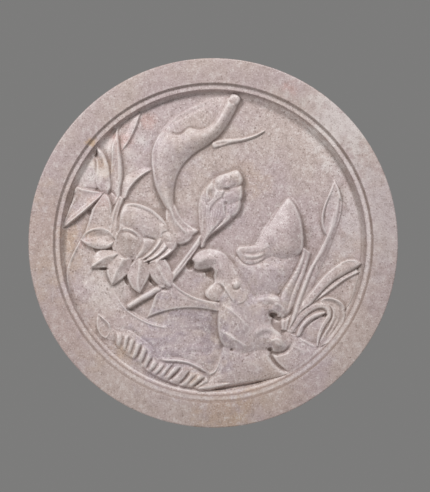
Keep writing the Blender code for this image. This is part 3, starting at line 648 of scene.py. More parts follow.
def carve_foot_bands(carving):
    """The ridges and grooves that part the bands of the great leaf's foot."""
    carving.crease([(-38.5, 40), (-35.5, 31), (-29, 23.5), (-18, 15)], 1.3, 2.0)
    carving.crease([(-38, 28), (-34, 22), (-28.5, 16.5), (-20, 11)], 1.9, -1.3)
    carving.crease([(-44, 38), (-38.5, 24), (-30, 13), (-22, 6)], 1.6, 1.5)
    carving.crease([(-45, 30), (-40, 17), (-32, 5)], 1.9, -1.3)
    carving.crease([(-16, 12.5), (-19, 8), (-23, 3), (-30, -0.5)], 1.2, 1.0)


def carve_great_leaf(carving):
    """The great curled leaf: a thin back face, and before it the thick roll that narrows to the foot."""
    left_side = [
        (-33, 15), (-41, 24), (-47, 34), (-53, 45), (-58.5, 59),
        (-61, 74), (-61.5, 89), (-59, 99), (-54, 109),
    ]
    back_top = [(-47, 117), (-38, 125), (-27, 131.5), (-15, 138), (-1, 144), (12, 148.5), (21, 150)]
    fold = [
        (-47, 112), (-42, 109.5), (-36, 108), (-31, 109.5),
        (-27, 113), (-23.5, 115), (-19, 114), (-13, 113.5),
    ]
    fold_rise = [(-7, 115.5), (-1, 120), (3, 126), (6, 132), (9, 138), (13, 144), (19, 148)]
    right_side = [
        (26, 146), (25, 139), (21, 130), (16, 121), (10, 112), (3, 104.5), (-6, 98), (-15, 92.5),
        (-24, 85), (-31, 77), (-36, 68), (-39, 57), (-40, 46), (-38.5, 36), (-36, 27), (-33, 15),
    ]
    carving.pad(left_side[3:] + back_top + right_side[:-3], 0.8, 2.4, 9, wall=1.3)
    carving.swell((-22, 125), (34, 17), -0.7, turn=33)
    carve_leaf_foot(carving)
    carving.blade(
        left_side + fold + fold_rise, right_side[::-1],
        1.2, (2.2, 6.4, 8.2, 7.6, 5.2, 1.6), 12, keep_higher=True,
    )
    carving.lip((fold + fold_rise[:-2])[::-1], 9, 1.7, width=0.6)
    carving.crease([(x, y + 1.2) for x, y in fold], 1.0, -0.8)
    carving.crease([(-58.5, 100), (-58.5, 84), (-57, 68), (-53, 52)], 1.8, -0.8)
    carving.crease([(-60, 66), (-61.5, 78), (-61, 90), (-58.5, 100), (-54, 109)], 1.1, 1.0)
    back_edge = [(-52, 111.5), (-46, 118), (-37, 126), (-26, 132.5), (-14, 138.5), (0, 144.5), (12, 149)]
    carving.crease(back_edge, 1.0, 1.1)
    carving.crease([(-47, 113.5), (-36, 122.5), (-24, 129.5), (-11, 135.5), (2, 141)], 1.2, -0.7)
    carving.crease(fold_rise, 1.0, 0.8)
    carving.pad([(18, 148), (24, 148), (27, 144), (25, 139), (20, 138), (16, 142)], 6.4, 2.0, 5)
    carve_foot_bands(carving)


def carve_stems(carving):
    """The bud's stem, passing behind the flower, and a thin tendril above."""
    stem = [(-12, 5), (-21, -8), (-29, -19), (-36, -28), (-45, -38), (-57, -47), (-71, -55), (-84, -63)]
    carving.rod(stem, [3.2, 3.2, 3.4, 3.4, 3.4, 3.2, 2.8], 1.8, 3.8)
    carving.crease([(-14, 0), (-23, -12), (-32, -24), (-38, -31)], 0.9, -1.3)
    tendril = [(2, 98.5), (9, 100.5), (17, 102), (29, 103.5), (41, 107), (51, 112)]
    carving.rod(tendril, [3.8, 3.2, 2.2, 1.7, 1.4, 0.8], 0.4, 2.8)
    carving.crease([(1, 99), (8, 99.5), (15, 101)], 1.2, -1.2)


def carve_petal(carving, one_side, other_side, level, crest):
    """One outer petal of the flower, a thick plate folded up to a crest along its middle."""
    across = (0.5, 0.9 + 0.5 * crest, 1.0 + crest, 0.6 + 0.4 * crest, 0.2)
    carving.blade(one_side, other_side, level, across, 3.5, wall=0.7)
    fold = [((a[0] + b[0]) / 2, (a[1] + b[1]) / 2) for a, b in zip(one_side, other_side)]
    carving.crease(fold, 1.5, 0.8)


def carve_outer_petals(carving):
    """The five pointed petals that lie open round the foot of the flower."""
    left_tip, low_left_tip, low_tip = (-133, 3), (-122.5, -25), (-101.5, -42.5)
    bottom_tip, right_tip = (-73, -51), (-41.5, -45)
    carving.crease([(-63, -38), (-56, -43.5), (-48, -46.5), (-41, -47)], 1.6, -2.2)
    carving.blade(
        [left_tip, (-128.5, 10), (-121, 14.5), (-112, 15.5), (-104, 12), (-98, 4)],
        [left_tip, (-127, -2), (-119, -5.5), (-111, -6.5), (-103, -4.5), (-98, 1)],
        2.6, (3.2, 1.0, 1.2, 4.0, 2.2), 7, wall=0.7,
    )
    carving.swell((-113, 7.5), (11, 4), -1.4)
    carving.crease([(-131, 4), (-126, 10), (-118, 13.5), (-109, 12.5)], 1.0, 0.9)
    carve_petal(
        carving,
        [low_left_tip, (-121, -17), (-117.5, -10), (-111, -6.5), (-97, -8)],
        [low_left_tip, (-114, -25), (-106, -24.5), (-99, -19.5), (-94, -14)],
        2.6, 2.4,
    )
    carve_petal(
        carving,
        [low_tip, (-105, -35), (-107, -28), (-105, -22), (-96, -12)],
        [low_tip, (-94.5, -38.5), (-88, -33.5), (-83, -26), (-80, -14)],
        3.0, 2.2,
    )
    carve_petal(
        carving,
        [bottom_tip, (-80, -46), (-85, -38), (-86, -31), (-82, -22), (-78, -15)],
        [bottom_tip, (-69.5, -44), (-65.5, -37), (-63, -29), (-65, -20), (-67, -15)],
        3.2, 2.8,
    )
    carve_petal(
        carving,
        [right_tip, (-51, -43.5), (-58, -39.5), (-63, -32), (-64.5, -24), (-63, -17)],
        [right_tip, (-40, -38), (-40.5, -31), (-43.5, -23), (-48, -16)],
        3.2, 3.0,
    )
    carving.pit((-87, -38), (1.9, 4.6), 4.4, turn=24)
    carving.pit((-62, -38.5), (3.8, 1.8), 3.6, turn=-38)
    carving.pit((-109.5, -26), (5.0, 1.5), 3.0)


def carve_flower_head(carving):
    """The body of the flower, on which its petals lie."""
    head_top = [(-93, 30), (-88, 39), (-76, 38.5), (-63, 34), (-54, 27), (-47, 19), (-43.5, 11), (-37, 3)]
    head_foot = [
        (-37, -5), (-46, -13), (-58, -19), (-72, -17),
        (-84, -17), (-95, -13), (-102, -3), (-100, 14),
    ]
    carving.pad(head_top + head_foot, 3.8, 2.4, 10)


def carve_back_petals(carving):
    """The rim behind the flower, the broad folded petal before it and the small one at its right."""
    carving.blade(
        [(-90, 34), (-84, 39.5), (-74, 39), (-62, 34), (-53, 27), (-46.5, 19), (-43, 9)],
        [(-90, 34), (-84, 36), (-75, 34.5), (-65, 30.5), (-57, 24), (-51, 17), (-43, 9)],
        4.6, (0.9, 1.5, 1.0, 0.0), 4, wall=0.7,
    )
    back_petal = [
        (-91, 18), (-93.5, 25), (-92, 32), (-87, 36.5),
        (-79, 35.5), (-70, 32), (-62, 27.5), (-55.5, 20),
    ]
    back_petal_foot = [(-53, 12), (-54, 4), (-62, 3), (-71, 6), (-80, 12)]
    carving.pad(back_petal + back_petal_foot, 5.4, 3.0, 12, wall=0.8)
    for fold in range(4):
        x = -83 + 7 * fold
        carving.crease([(x, 33 - 2.5 * fold), (x + 1.5, 26 - 2 * fold), (x + 1, 19 - 2 * fold)], 1.7, -0.6)
    carving.crease([(-92.5, 33), (-95, 24), (-95.5, 15), (-97.5, 6)], 1.4, -2.2)
    carving.pad([(-54, 19), (-49, 18.5), (-45, 12), (-48, 6), (-54, 5)], 5.4, 1.8, 4, wall=0.7)


def carve_nested_petals(carving):
    """The thin petals nested one before the other at the right of the cup."""
    carving.blade(
        [(-66, -20.5), (-56, -18), (-47, -13.5), (-40, -7), (-36.5, 1)],
        [(-66, -20.5), (-57, -15), (-49, -9), (-43, -2.5), (-36.5, 1)],
        5.2, (2.6, 1.4, -0.6), 4, wall=0.6,
    )
    carving.blade(
        [(-70, -19.5), (-61, -16.5), (-53, -11), (-46.5, -4), (-43, 4)],
        [(-70, -19.5), (-62, -12.5), (-55, -6), (-50, 1), (-43, 4)],
        5.8, (2.8, 1.4, -0.8), 4, wall=0.6,
    )
    carving.blade(
        [(-73, -18), (-65, -13.5), (-58, -7), (-53, 0), (-51, 6)],
        [(-73, -18), (-67, -9.5), (-61, -3), (-57, 2), (-51, 6)],
        6.0, (2.8, 1.0, -1.0), 5, wall=0.6,
    )
    carving.blade(
        [(-71, 6), (-64, 5), (-57, 3), (-58, -2), (-63, -8), (-70, -14), (-78, -17)],
        [(-71, 6), (-70, 0), (-72, -6), (-75, -11), (-78, -17)],
        5.6, (-1.2, 0.6, 2.2, 2.0), 6, wall=0.7,
    )
    carving.crease([(-70, 6.5), (-64, 5.5), (-56, 3)], 1.0, -1.0)


def carve_side_shell(carving):
    """The low shell at the flower's right."""
    side_shell = [
        (-51, 9.5), (-46, 11.5), (-41, 8.5), (-37, 3),
        (-37, -3), (-41, -7.5), (-46.5, -3), (-50, 3),
    ]
    carving.pad(side_shell, 5.4, 1.3, 6, wall=0.9)
    carving.crease([(-46, 10), (-43, 5), (-42, -3)], 1.6, 0.9)
    carving.crease([(-50, 3), (-45, 1.5), (-39, 1)], 1.3, -0.8)


def carve_cup(carving):
    """The cup in the flower's middle, soft at its left and foot, with a double lip at its upper right."""
    carving.swell((-90, -16), (18, 12), 1.8, turn=-12)
    top = [(-94.5, 9), (-91.5, 14), (-86, 15.5), (-79.5, 13), (-74, 9), (-70, 4.5), (-72, -1), (-76, -7)]
    foot = [(-81, -12.5), (-87, -15.5), (-92.5, -12.5), (-96, -6), (-96.5, 2)]
    carving.pad(top + foot, 5.6, 1.7, 9, wall=1.1, lean=0.09)
    carving.crease([(-90, 11), (-86.5, 2), (-86, -12)], 4.0, 0.6)
    carving.crease([(-95, 10), (-91, 13.5), (-86, 14.3), (-80, 12), (-75, 8.5), (-71, 4)], 1.0, 1.4)
    carving.crease([(-92, 9), (-87, 11.2), (-81.5, 9.2), (-76.5, 5.5), (-73, 1)], 1.1, -1.3)


def carve_flower(carving):
    """The open flower: outer petals, a rim behind, nested shells and the cup in front."""
    carve_flower_head(carving)
    carve_outer_petals(carving)
    carve_back_petals(carving)
    carve_nested_petals(carving)
    carve_side_shell(carving)
    carve_cup(carving)


def carve_hooded_leaf(carving):
    """The leaf at the right: a bowl below and a hood over it that stands up higher to the right."""
    bowl_top = [(24, -13), (33, -14), (43, -14), (53, -10), (63, -8), (77, -7), (89, -2)]
    bowl_right = [(88, -11), (85, -20), (80, -30), (74, -40), (66, -51)]
    bowl_left = [(51, -58), (39, -56), (29, -42), (23, -30), (21, -19)]
    carving.pad(bowl_top + bowl_right + bowl_left, 0.9, 5.6, 22, wall=1.2, lean=0.02)
    carving.swell((64, -19), (26, 8), -1.6)
    hood_right = [(75, 45), (79.5, 41.5), (84, 34), (87.5, 25), (89.5, 14), (90.5, 2), (89, -8), (84, -12.5)]
    hood_foot = [(77, -15.5), (70, -16.5), (64, -15), (59, -14)]
    lip_foot = [(54, -16), (48, -19), (42, -21.5), (35, -22), (29, -19), (25, -13.5), (23, -8)]
    hood_left = [(26, -4), (34, -3), (42, -1), (48, 8), (55, 18.5), (62, 29), (69, 39)]
    carving.pad(hood_right + hood_foot + lip_foot + hood_left, 2.0, 5.2, 17, wall=1.2, lean=0.095)
    lip_top = [(23, -8), (26, -4), (34, -3), (42, -2.5), (49, -4), (53, -8), (53, -13)]
    carving.pad(lip_foot[1:-1] + lip_top, 2.8, 1.9, 7, wall=1.0, keep_higher=True)
    carving.swell((75, 13), (13, 22), 2.4, turn=-8)
    carving.swell((74, -6), (15, 11), 1.2)
    carving.swell((58, -1), (9, 8), -1.0)
    carving.crease([(59, -13), (57, -7), (60, 0)], 2.2, -0.9)
    carving.crease([(76, 46.5), (80.5, 43), (85.5, 36), (88.5, 28)], 1.0, 1.4)
    carving.crease([(69, 40), (62, 30), (55, 19.5), (48, 9), (43, 1)], 1.2, 0.6)
    carving.crease([(26, -8.5), (34, -10.5), (43, -10.5), (51, -7.5), (58, -2.5)], 1.4, -1.1)
    carving.crease([(28, -11.5), (36, -13.5), (45, -13), (53, -9.5)], 1.3, 0.9)
    carving.crease([(28, -15), (36, -17), (45, -16), (53, -11.5)], 1.2, -1.0)
    carving.swell((29, -13), (6, 8), -0.8)


def carve_scales(carving):
    """The three swollen scales at the right of the bud, the cap last and highest."""
    low_scale = [(12, 37), (19, 40.5), (26.5, 43), (27.5, 36), (23, 28), (15, 27), (12, 31)]
    middle_scale = [
        (9, 47), (13, 53), (20, 54), (28, 57), (29.5, 49),
        (27.5, 43), (19, 40), (12.5, 37.5), (9.5, 41),
    ]
    cap = [(3, 53), (10, 52.5), (18, 54), (27, 57.5), (29.5, 64), (24.5, 72.5), (14, 70), (5, 66.5), (1, 60)]
    for points, level, crown in ((low_scale, 5.6, 1.7), (middle_scale, 6.3, 1.9), (cap, 6.2, 2.4)):
        carving.pad(points, level, crown, 7, wall=1.3)
    carving.swell((7, 61), (7, 7), 0.8)
    carving.swell((19, 65), (8, 6), 0.9)
    carving.crease([(12, 69), (13, 62), (12, 57)], 2.2, -1.0)
    carving.pit((13.5, 53), (3.8, 2.4), 1.6)
    carving.pit((12, 39.5), (2.8, 2.2), 1.5)
    carving.crease([(24, 60), (19, 55), (13, 52)], 2.0, -0.9)


def carve_bud(carving):
    """The closed bud, the highest part of the relief, with long petals in front of its scales."""
    bud_top = [(15, 70), (23, 72.5), (27.5, 68), (28.5, 58), (28.5, 47), (26.5, 36)]
    bud_right = [(22.5, 27), (16, 20), (8, 14), (0, 9), (-6, 3.5), (-9, -4)]
    bud_left = [(-13, -4), (-12.5, 5), (-14, 15), (-15, 29), (-15, 40), (-11.5, 51), (-6, 59), (3, 66)]
    carving.pad(bud_top + bud_right + bud_left, 2.2, 6.6, 15, wall=1.1)
    carve_scales(carving)
    carving.crease([(-12, 48), (-10, 40), (-8.5, 28), (-8.5, 14), (-9, 2)], 1.6, -0.8)
    carving.blade(
        [(-6, 40), (-7.5, 48), (-6, 56), (-1, 62)],
        [(-6, 40), (-1, 44), (2, 52), (-1, 62)],
        6.2, (0.8, 1.8, 0.8), 5, wall=0.7,
    )
    carving.pit((-3, 48.5), (2.8, 4.8), 2.0, turn=10)
    carving.crease([(-10, 46), (-7, 39), (-4, 36)], 1.2, -1.1)
    carving.blade(
        [(15, 31), (10.5, 22), (3.5, 15), (-7, 5)],
        [(15, 31), (17.5, 25), (10.5, 18), (-7, 5)],
        5.4, (2.2, 1.2), 3, wall=0.6,
    )
    carving.blade(
        [(-9, 1), (-7, 15), (-5, 28), (-1, 37), (4, 42.5), (9.5, 46)],
        [(-9, 1), (0, 12), (6.5, 21), (10.5, 31), (11.5, 40), (9.5, 46)],
        6.6, (0.6, 1.8, 2.2, 1.2), 8, wall=1.6,
    )
    for vein in range(7):
        low, high = (-10 + 1.9 * vein, 9 + 1.2 * vein), (-7 + 2.6 * vein, 40 + 0.5 * vein)
        middle = ((low[0] + high[0]) / 2 + 0.4 * vein, (low[1] + high[1]) / 2)
        carving.crease([low, middle, high], 0.8, -0.7)
    carving.crease([(-12, 10), (-12.5, 22), (-12, 36)], 0.8, -0.6)


def carve_water_leaf(carving):
    """The leaf on the water, fanned out at the left and drawn in to a stalk at the rock."""
    carving.blade(
        [
            (-66.5, -75), (-61, -62), (-57.5, -52), (-52, -45), (-43, -38),
            (-32, -47), (-21, -53), (-9, -57), (9, -60),
        ],
        [(-66.5, -75), (-54, -70), (-40, -66.5), (-24, -65), (-9, -66), (9, -69.5)],
        1.6, (2.2, 2.0, 1.4, 1.4, 1.0), 10, wall=0.8,
    )
    carving.crease([(-42, -38), (-33, -46), (-22, -53), (-9, -57.5), (5, -60)], 1.2, 1.4)
    carving.crease([(-42, -42), (-33, -49.5), (-22, -56.5), (-10, -60)], 1.1, -0.9)
    carving.crease([(-30, -53), (-19, -58.5), (-7, -61.5), (7, -63.5)], 2.6, 1.2)
    carving.crease([(-52, -45), (-57.5, -52), (-61, -61), (-65, -71)], 1.0, 1.2)
    carving.crease([(-50, -49), (-54, -56), (-57, -64)], 1.4, -0.8)


def carve_rock_mass(carving):
    """The rock as a whole, from its hook round both curls to its foot, with a knob under the hook."""
    hook = [
        (-22, -17), (-17, -10.5), (-9, -6.5), (0, -6), (9, -9),
        (17, -17), (26, -28), (34, -39.5), (40, -51),
    ]
    upper_curl = [
        (44, -53.5), (52, -51), (61, -51.5), (69, -56),
        (75, -64), (75, -71), (69, -74.5), (61, -74),
    ]
    lower_curl = [
        (58, -79), (61, -85), (68, -91), (74.5, -98),
        (76, -105), (71, -109.5), (62, -109.5), (56, -107),
    ]
    underside = [
        (48, -109), (38, -113), (28, -113.5), (20, -108),
        (12, -104), (7, -97), (4.5, -85), (4.5, -73),
    ]
    throat = [(6.5, -60), (0, -58.5), (-6, -55), (-8, -50), (-4, -44), (1, -39), (-1, -31), (-4, -26)]
    hook_underside = [(-10, -26.5), (-17, -26.5), (-21.5, -22)]
    outline = hook + upper_curl + lower_curl + underside + throat + hook_underside
    carving.pad(outline, 3.0, 5.2, 15, keep_higher=True)
    carving.swell((0, -86), (6, 26), -1.4)
    carving.swell((42, -104), (24, 16), -1.6)
    carving.crease([(5, -9), (13, -15), (21, -24), (29, -35), (36, -47)], 1.2, -1.0)
    carving.swell((-12, -16), (12, 11), 3.0)
    carving.swell((2, -22), (6, 8), -1.8)
    boss = [(-4, -44), (2, -41), (8, -42), (11, -47), (8, -53), (4, -58), (-3, -57), (-8, -51)]
    carving.pad(boss, 3.8, 2.4, 8, wall=1.4)
    carving.swell((5, -34), (7, 9), -1.4)


def carve_rock_plates(carving):
    """The plates that step down the rock's left side, and the button on its shoulder."""
    carving.lip([(10, -44), (14, -50), (18, -56), (22, -61)], 7, 1.6)
    carving.lip([(22, -61), (28, -60), (33, -56), (34, -50)], 6, 1.2)
    carving.lip([(39, -86), (33, -80), (26, -73.5), (19, -67.5), (13, -63), (8, -61)], 16, 2.2, width=0.7)
    carving.crease([(11, -62), (18, -66), (26, -72.5), (36, -82)], 1.1, 1.2)
    carving.lip([(37, -104), (31, -100.5), (23, -96), (15, -91), (9, -87.5), (5, -86)], 14, 2.4, width=0.7)
    carving.crease([(6, -86), (13, -89.5), (21, -94.5), (31, -101.5)], 1.1, 1.2)
    carving.swell((23.2, -41), (5.5, 6), 2.6)
    carving.crease([(18.5, -43.5), (23, -47), (28, -43.5)], 1.1, -1.4)


def carve_rock_curls(carving):
    """The two curls at the rock's right, rolled round a hollow and cut free of the ground."""
    carving.crease([(40, -60), (47, -55.5), (57, -55), (66, -58.5), (71, -65)], 4.2, 2.6)
    carving.crease([(50, -65), (56, -62), (62, -63)], 2.6, -1.2)
    carving.crease([(59, -61), (65, -61.5), (70, -65), (70, -70)], 1.6, 1.4)
    carving.swell((58, -70), (5, 4), -2.0)
    carving.crease([(40, -99), (42, -91), (48, -86.5), (56, -86), (64, -90), (71, -98)], 3.0, 1.6)
    carving.crease([(46, -99), (48, -93), (55, -90.5), (61, -93)], 2.2, -0.6)
    carving.swell((65, -98.5), (10, 9), 3.2)
    carving.crease([(55, -106), (61, -110.5), (70, -109.5), (77, -104), (79, -97)], 1.8, -3.2)
    carving.crease([(57, -73), (64, -76), (72, -75), (77.5, -70), (79, -63)], 1.8, -3.0)
    carving.crease([(2, -62), (0.5, -75), (0.5, -90), (4, -102)], 3.4, -1.4)
    carving.crease([(57, -103), (58, -98), (63, -95.5), (68, -98), (69, -102)], 1.4, 1.2)


def carve_rock_holes(carving):
    """The holes in the rock and under its hook."""
    carving.pit((60.5, -72.5), (4.8, 2.8), 6.5)
    carving.pit((57, -106.5), (2.6, 2.2), 3.0)
    carving.pit((18.5, -107), (1.8, 1.4), 2.6)
    carving.crease([(-22, -24), (-15, -28), (-9, -28.5), (-3, -28)], 1.8, -1.8)
    carving.crease([(-4, -26), (-2.5, -32), (0, -39)], 2.4, -2.2)
    carving.pit((-3.0, -29.5), (4.2, 5.0), 10.0, turn=-20)
    carving.pit((-22.5, -22), (3.8, 5.0), 10.0, turn=-20)


def carve_rock(carving):
    """The pierced rock: a hook at the top, plates down its left and two curls at its right."""
    carve_rock_mass(carving)
    carve_rock_plates(carving)
    carve_rock_curls(carving)
    carve_rock_holes(carving)


def carve_pond(x, y):
    """Heights of the whole picture, from the ground up to what overlaps most."""
    carving = Carving(x, y)
    carve_ground(carving)
    carve_water_edge(carving)
    carve_left_reeds(carving)
    carve_right_reeds(carving)
    carve_great_leaf(carving)
    carve_water_leaf(carving)
    carve_stems(carving)
    carve_flower(carving)
    carve_hooded_leaf(carving)
    carve_bud(carving)
    carve_rock(carving)
    return np.clip(carving.height, DEEPEST, PARTS)


def rubbed(heights, passes):
    """A square sheet of heights, rubbed down a little in each pass."""
    for _ in range(passes):
        heights[1:-1] = (heights[:-2] + 2 * heights[1:-1] + heights[2:]) / 4
        heights[:, 1:-1] = (heights[:, :-2] + 2 * heights[:, 1:-1] + heights[:, 2:]) / 4
    return heights


def blurred(heights, reach):
    """A square sheet of heights, averaged over a square of twice the reach, three times each way."""
    for _ in range(3):
        for _ in range(2):
            padded = np.pad(heights, ((reach + 1, reach), (0, 0)), mode="edge")
            total = np.cumsum(padded, axis=0)
            heights = ((total[2 * reach + 1 :] - total[: -2 * reach - 1]) / (2 * reach + 1)).T
    return heights


# The carved sheet: its cells from side to side, and how far round a cell its hollows and crevices are felt
SHEET_CELLS = 720
WIDE_REACH = 10
NARROW_REACH = 3
SHEET_ON_FILLET = 0.5  # how much of the fillet's width the sheet reaches over
SHEET_UNDERSIDE = 1.45  # below the rim, in depths of the field
LAST_CELL = 0.999999  # keeps a point on the sheet's far edge in its last cell


def field_radius(sizes):
    """Radius of the sunk field, inside all the mouldings."""
    return PANEL_RADIUS - sizes.rim_width - sizes.step_width - sizes.fillet_width - sizes.cove_width


def drawn_in(across, along):
    """Draws a square from -1 to 1 in to a round of radius 1."""
    return across * np.sqrt(1 - along**2 / 2), along * np.sqrt(1 - across**2 / 2)


def drawn_out(x, y):
    """The place in the square of a point of the round."""
    lean = x**2 - y**2
    wide, high = 2 * math.sqrt(2) * x, 2 * math.sqrt(2) * y
    across = np.sqrt(np.maximum(2 + lean + wide, 0)) - np.sqrt(np.maximum(2 + lean - wide, 0))
    along = np.sqrt(np.maximum(2 - lean + high, 0)) - np.sqrt(np.maximum(2 - lean - high, 0))
    return across / 2, along / 2


class Sheet:
    """The picture carved in a fine round sheet, in metres, on the bench."""

    def __init__(self, sizes):
        square = field_radius(sizes) / SQUARES
        self.radius = field_radius(sizes) + sizes.cove_width + SHEET_ON_FILLET * sizes.fillet_width
        self.underside = PANEL_THICKNESS - SHEET_UNDERSIDE * sizes.field_depth
        across = np.linspace(-1, 1, SHEET_CELLS + 1)
        x, y = drawn_in(*np.meshgrid(across, across))
        self.x, self.y = self.radius * x, self.radius * y
        heights = carve_pond(self.x.ravel() / square, self.y.ravel() / square).reshape(self.x.shape)
        heights = rubbed(heights, sizes.wear)
        self.hollow = blurred(heights, WIDE_REACH) - heights
        self.crevice = blurred(heights, NARROW_REACH) - heights
        self.level = PANEL_THICKNESS - sizes.field_depth + sizes.relief_height / PARTS * heights
        places = np.stack([self.x, self.y, self.level], axis=-1)
        to_right, to_top = np.gradient(places, axis=(1, 0))
        facing = np.cross(to_right, to_top)
        self.facing = facing / np.linalg.norm(facing, axis=-1, keepdims=True)

    def at(self, values, x, y):
        """The sheet's values at points of the round, from the four nearest places."""
        across, along = drawn_out(x / self.radius, y / self.radius)
        across = np.clip((across + 1) / 2, 0, LAST_CELL) * SHEET_CELLS
        along = np.clip((along + 1) / 2, 0, LAST_CELL) * SHEET_CELLS
        column, row = across.astype(int), along.astype(int)
        right, up = across - column, along - row
        if values.ndim == 3:
            right, up = right[:, None], up[:, None]
        lower = values[row, column] * (1 - right) + values[row, column + 1] * right
        upper = values[row + 1, column] * (1 - right) + values[row + 1, column + 1] * right
        return lower * (1 - up) + upper * up

    def blank(self, sizes):
        """A closed solid with the sheet as its top, thinned out to the wanted number of triangles."""
        face = bmesh.new()
        bmesh.ops.create_grid(face, x_segments=SHEET_CELLS, y_segments=SHEET_CELLS, size=1)
        edge_loop = [edge for edge in face.edges if edge.is_boundary]
        skirt = bmesh.ops.extrude_edge_only(face, edges=edge_loop)["geom"]
        hem = [piece for piece in skirt if isinstance(piece, bmesh.types.BMEdge) and piece.is_boundary]
        bmesh.ops.contextual_create(face, geom=hem)
        bmesh.ops.recalc_face_normals(face, faces=face.faces)
        mesh = bpy.data.meshes.new("Carved sheet")
        face.to_mesh(mesh)
        face.free()
        places = np.empty(3 * len(mesh.vertices))
        mesh.vertices.foreach_get("co", places)
        places = places.reshape(-1, 3)
        x, y = drawn_in(places[:, 0], places[:, 1])
        levels = np.full(len(places), self.underside)
        levels[: self.level.size] = self.level.ravel()
        places = np.column_stack([self.radius * x, self.radius * y, levels])
        mesh.vertices.foreach_set("co", places.ravel())
        blank = bpy.data.objects.new("Carved sheet", mesh)
        bpy.context.scene.collection.objects.link(blank)
        thinning = blank.modifiers.new("Thin out", "DECIMATE")
        thinning.ratio = sizes.face_triangles / (2 * len(mesh.polygons))
        return blank


# The turned slab: steps along its curves and round it, and the socket that the carved sheet sits in
COVE_STEPS = 10
ARRIS_STEPS = 6
TURNED_STEPS = 288
CORNER_STEPS = 4
MERGE_DISTANCE = 0.01 * MM
SOCKET_INSET = 1.2 * MM
SOCKET_DROP = 0.25  # below the ground, in depths of the field
STEP_FOOT_WEAR = 0.4  # the corner at the step's foot is worn less than the others


def softened(corner, before, after, radius):
    """A corner of a profile rounded to about the radius, as points."""
    corner, before, after = (np.asarray(point, float) for point in (corner, before, after))
    to_before, to_after = before - corner, after - corner
    reach_before = min(radius, np.linalg.norm(to_before) / 2)
    reach_after = min(radius, np.linalg.norm(to_after) / 2)
    start = corner + to_before / np.linalg.norm(to_before) * reach_before
    end = corner + to_after / np.linalg.norm(to_after) * reach_after
    shares = [step / CORNER_STEPS for step in range(CORNER_STEPS + 1)]
    return [tuple((1 - t) ** 2 * start + 2 * t * (1 - t) * corner + t**2 * end) for t in shares]


def slab_profile(sizes):
    """(radius, height) from the socket's middle out over the rim and round to the middle of the back."""
    ground = PANEL_THICKNESS - sizes.field_depth
    fillet = PANEL_THICKNESS - sizes.step_depth
    socket = ground - SOCKET_DROP * sizes.field_depth
    foot = field_radius(sizes)
    lip = foot + sizes.cove_width
    step_foot = lip + sizes.fillet_width
    rim = step_foot + sizes.step_width
    points = [(0, socket), (foot - SOCKET_INSET, socket)]
    cove = []
    for step in range(COVE_STEPS + 1):
        turn = math.pi / 2 * step / COVE_STEPS
        height = ground + (fillet - ground) * (1 - math.cos(turn))
        cove.append((foot + sizes.cove_width * math.sin(turn), height))
    points += cove[:-1]
    points += softened((lip, fillet), cove[-2], (step_foot, fillet), sizes.worn_edge)
    step_foot_wear = STEP_FOOT_WEAR * sizes.worn_edge
    points += softened((step_foot, fillet), (lip, fillet), (rim, PANEL_THICKNESS), step_foot_wear)
    outer_edge = (PANEL_RADIUS, PANEL_THICKNESS)
    points += softened((rim, PANEL_THICKNESS), (step_foot, fillet), outer_edge, sizes.worn_edge)
    for step in range(ARRIS_STEPS + 1):
        turn = math.pi / 2 * step / ARRIS_STEPS
        radius = PANEL_RADIUS - sizes.front_arris * (1 - math.sin(turn))
        points.append((radius, PANEL_THICKNESS - sizes.front_arris * (1 - math.cos(turn))))
    points += [(PANEL_RADIUS, sizes.back_chamfer), (PANEL_RADIUS - sizes.back_chamfer, 0), (0, 0)]
    return points


def turned_slab(sizes):
    """The slab turned to its rim, fillet and cove, with a round socket for the carved sheet."""
    points = [(radius, 0, height) for radius, height in slab_profile(sizes)]
    mesh = bpy.data.meshes.new("Turned slab")
    mesh.from_pydata(points, [(i, i + 1) for i in range(len(points) - 1)], [])
    slab = bpy.data.objects.new("Turned slab", mesh)
    bpy.context.scene.collection.objects.link(slab)
    turn = slab.modifiers.new("Turn", "SCREW")
    turn.steps = TURNED_STEPS
    turn.render_steps = TURNED_STEPS
    turn.use_merge_vertices = True
    turn.merge_threshold = MERGE_DISTANCE
    return slab


def new_nodes(material):
    """The material's node tree and its surface shader."""
    material.use_nodes = True
    tree = material.node_tree
    return tree, tree.nodes["Principled BSDF"]


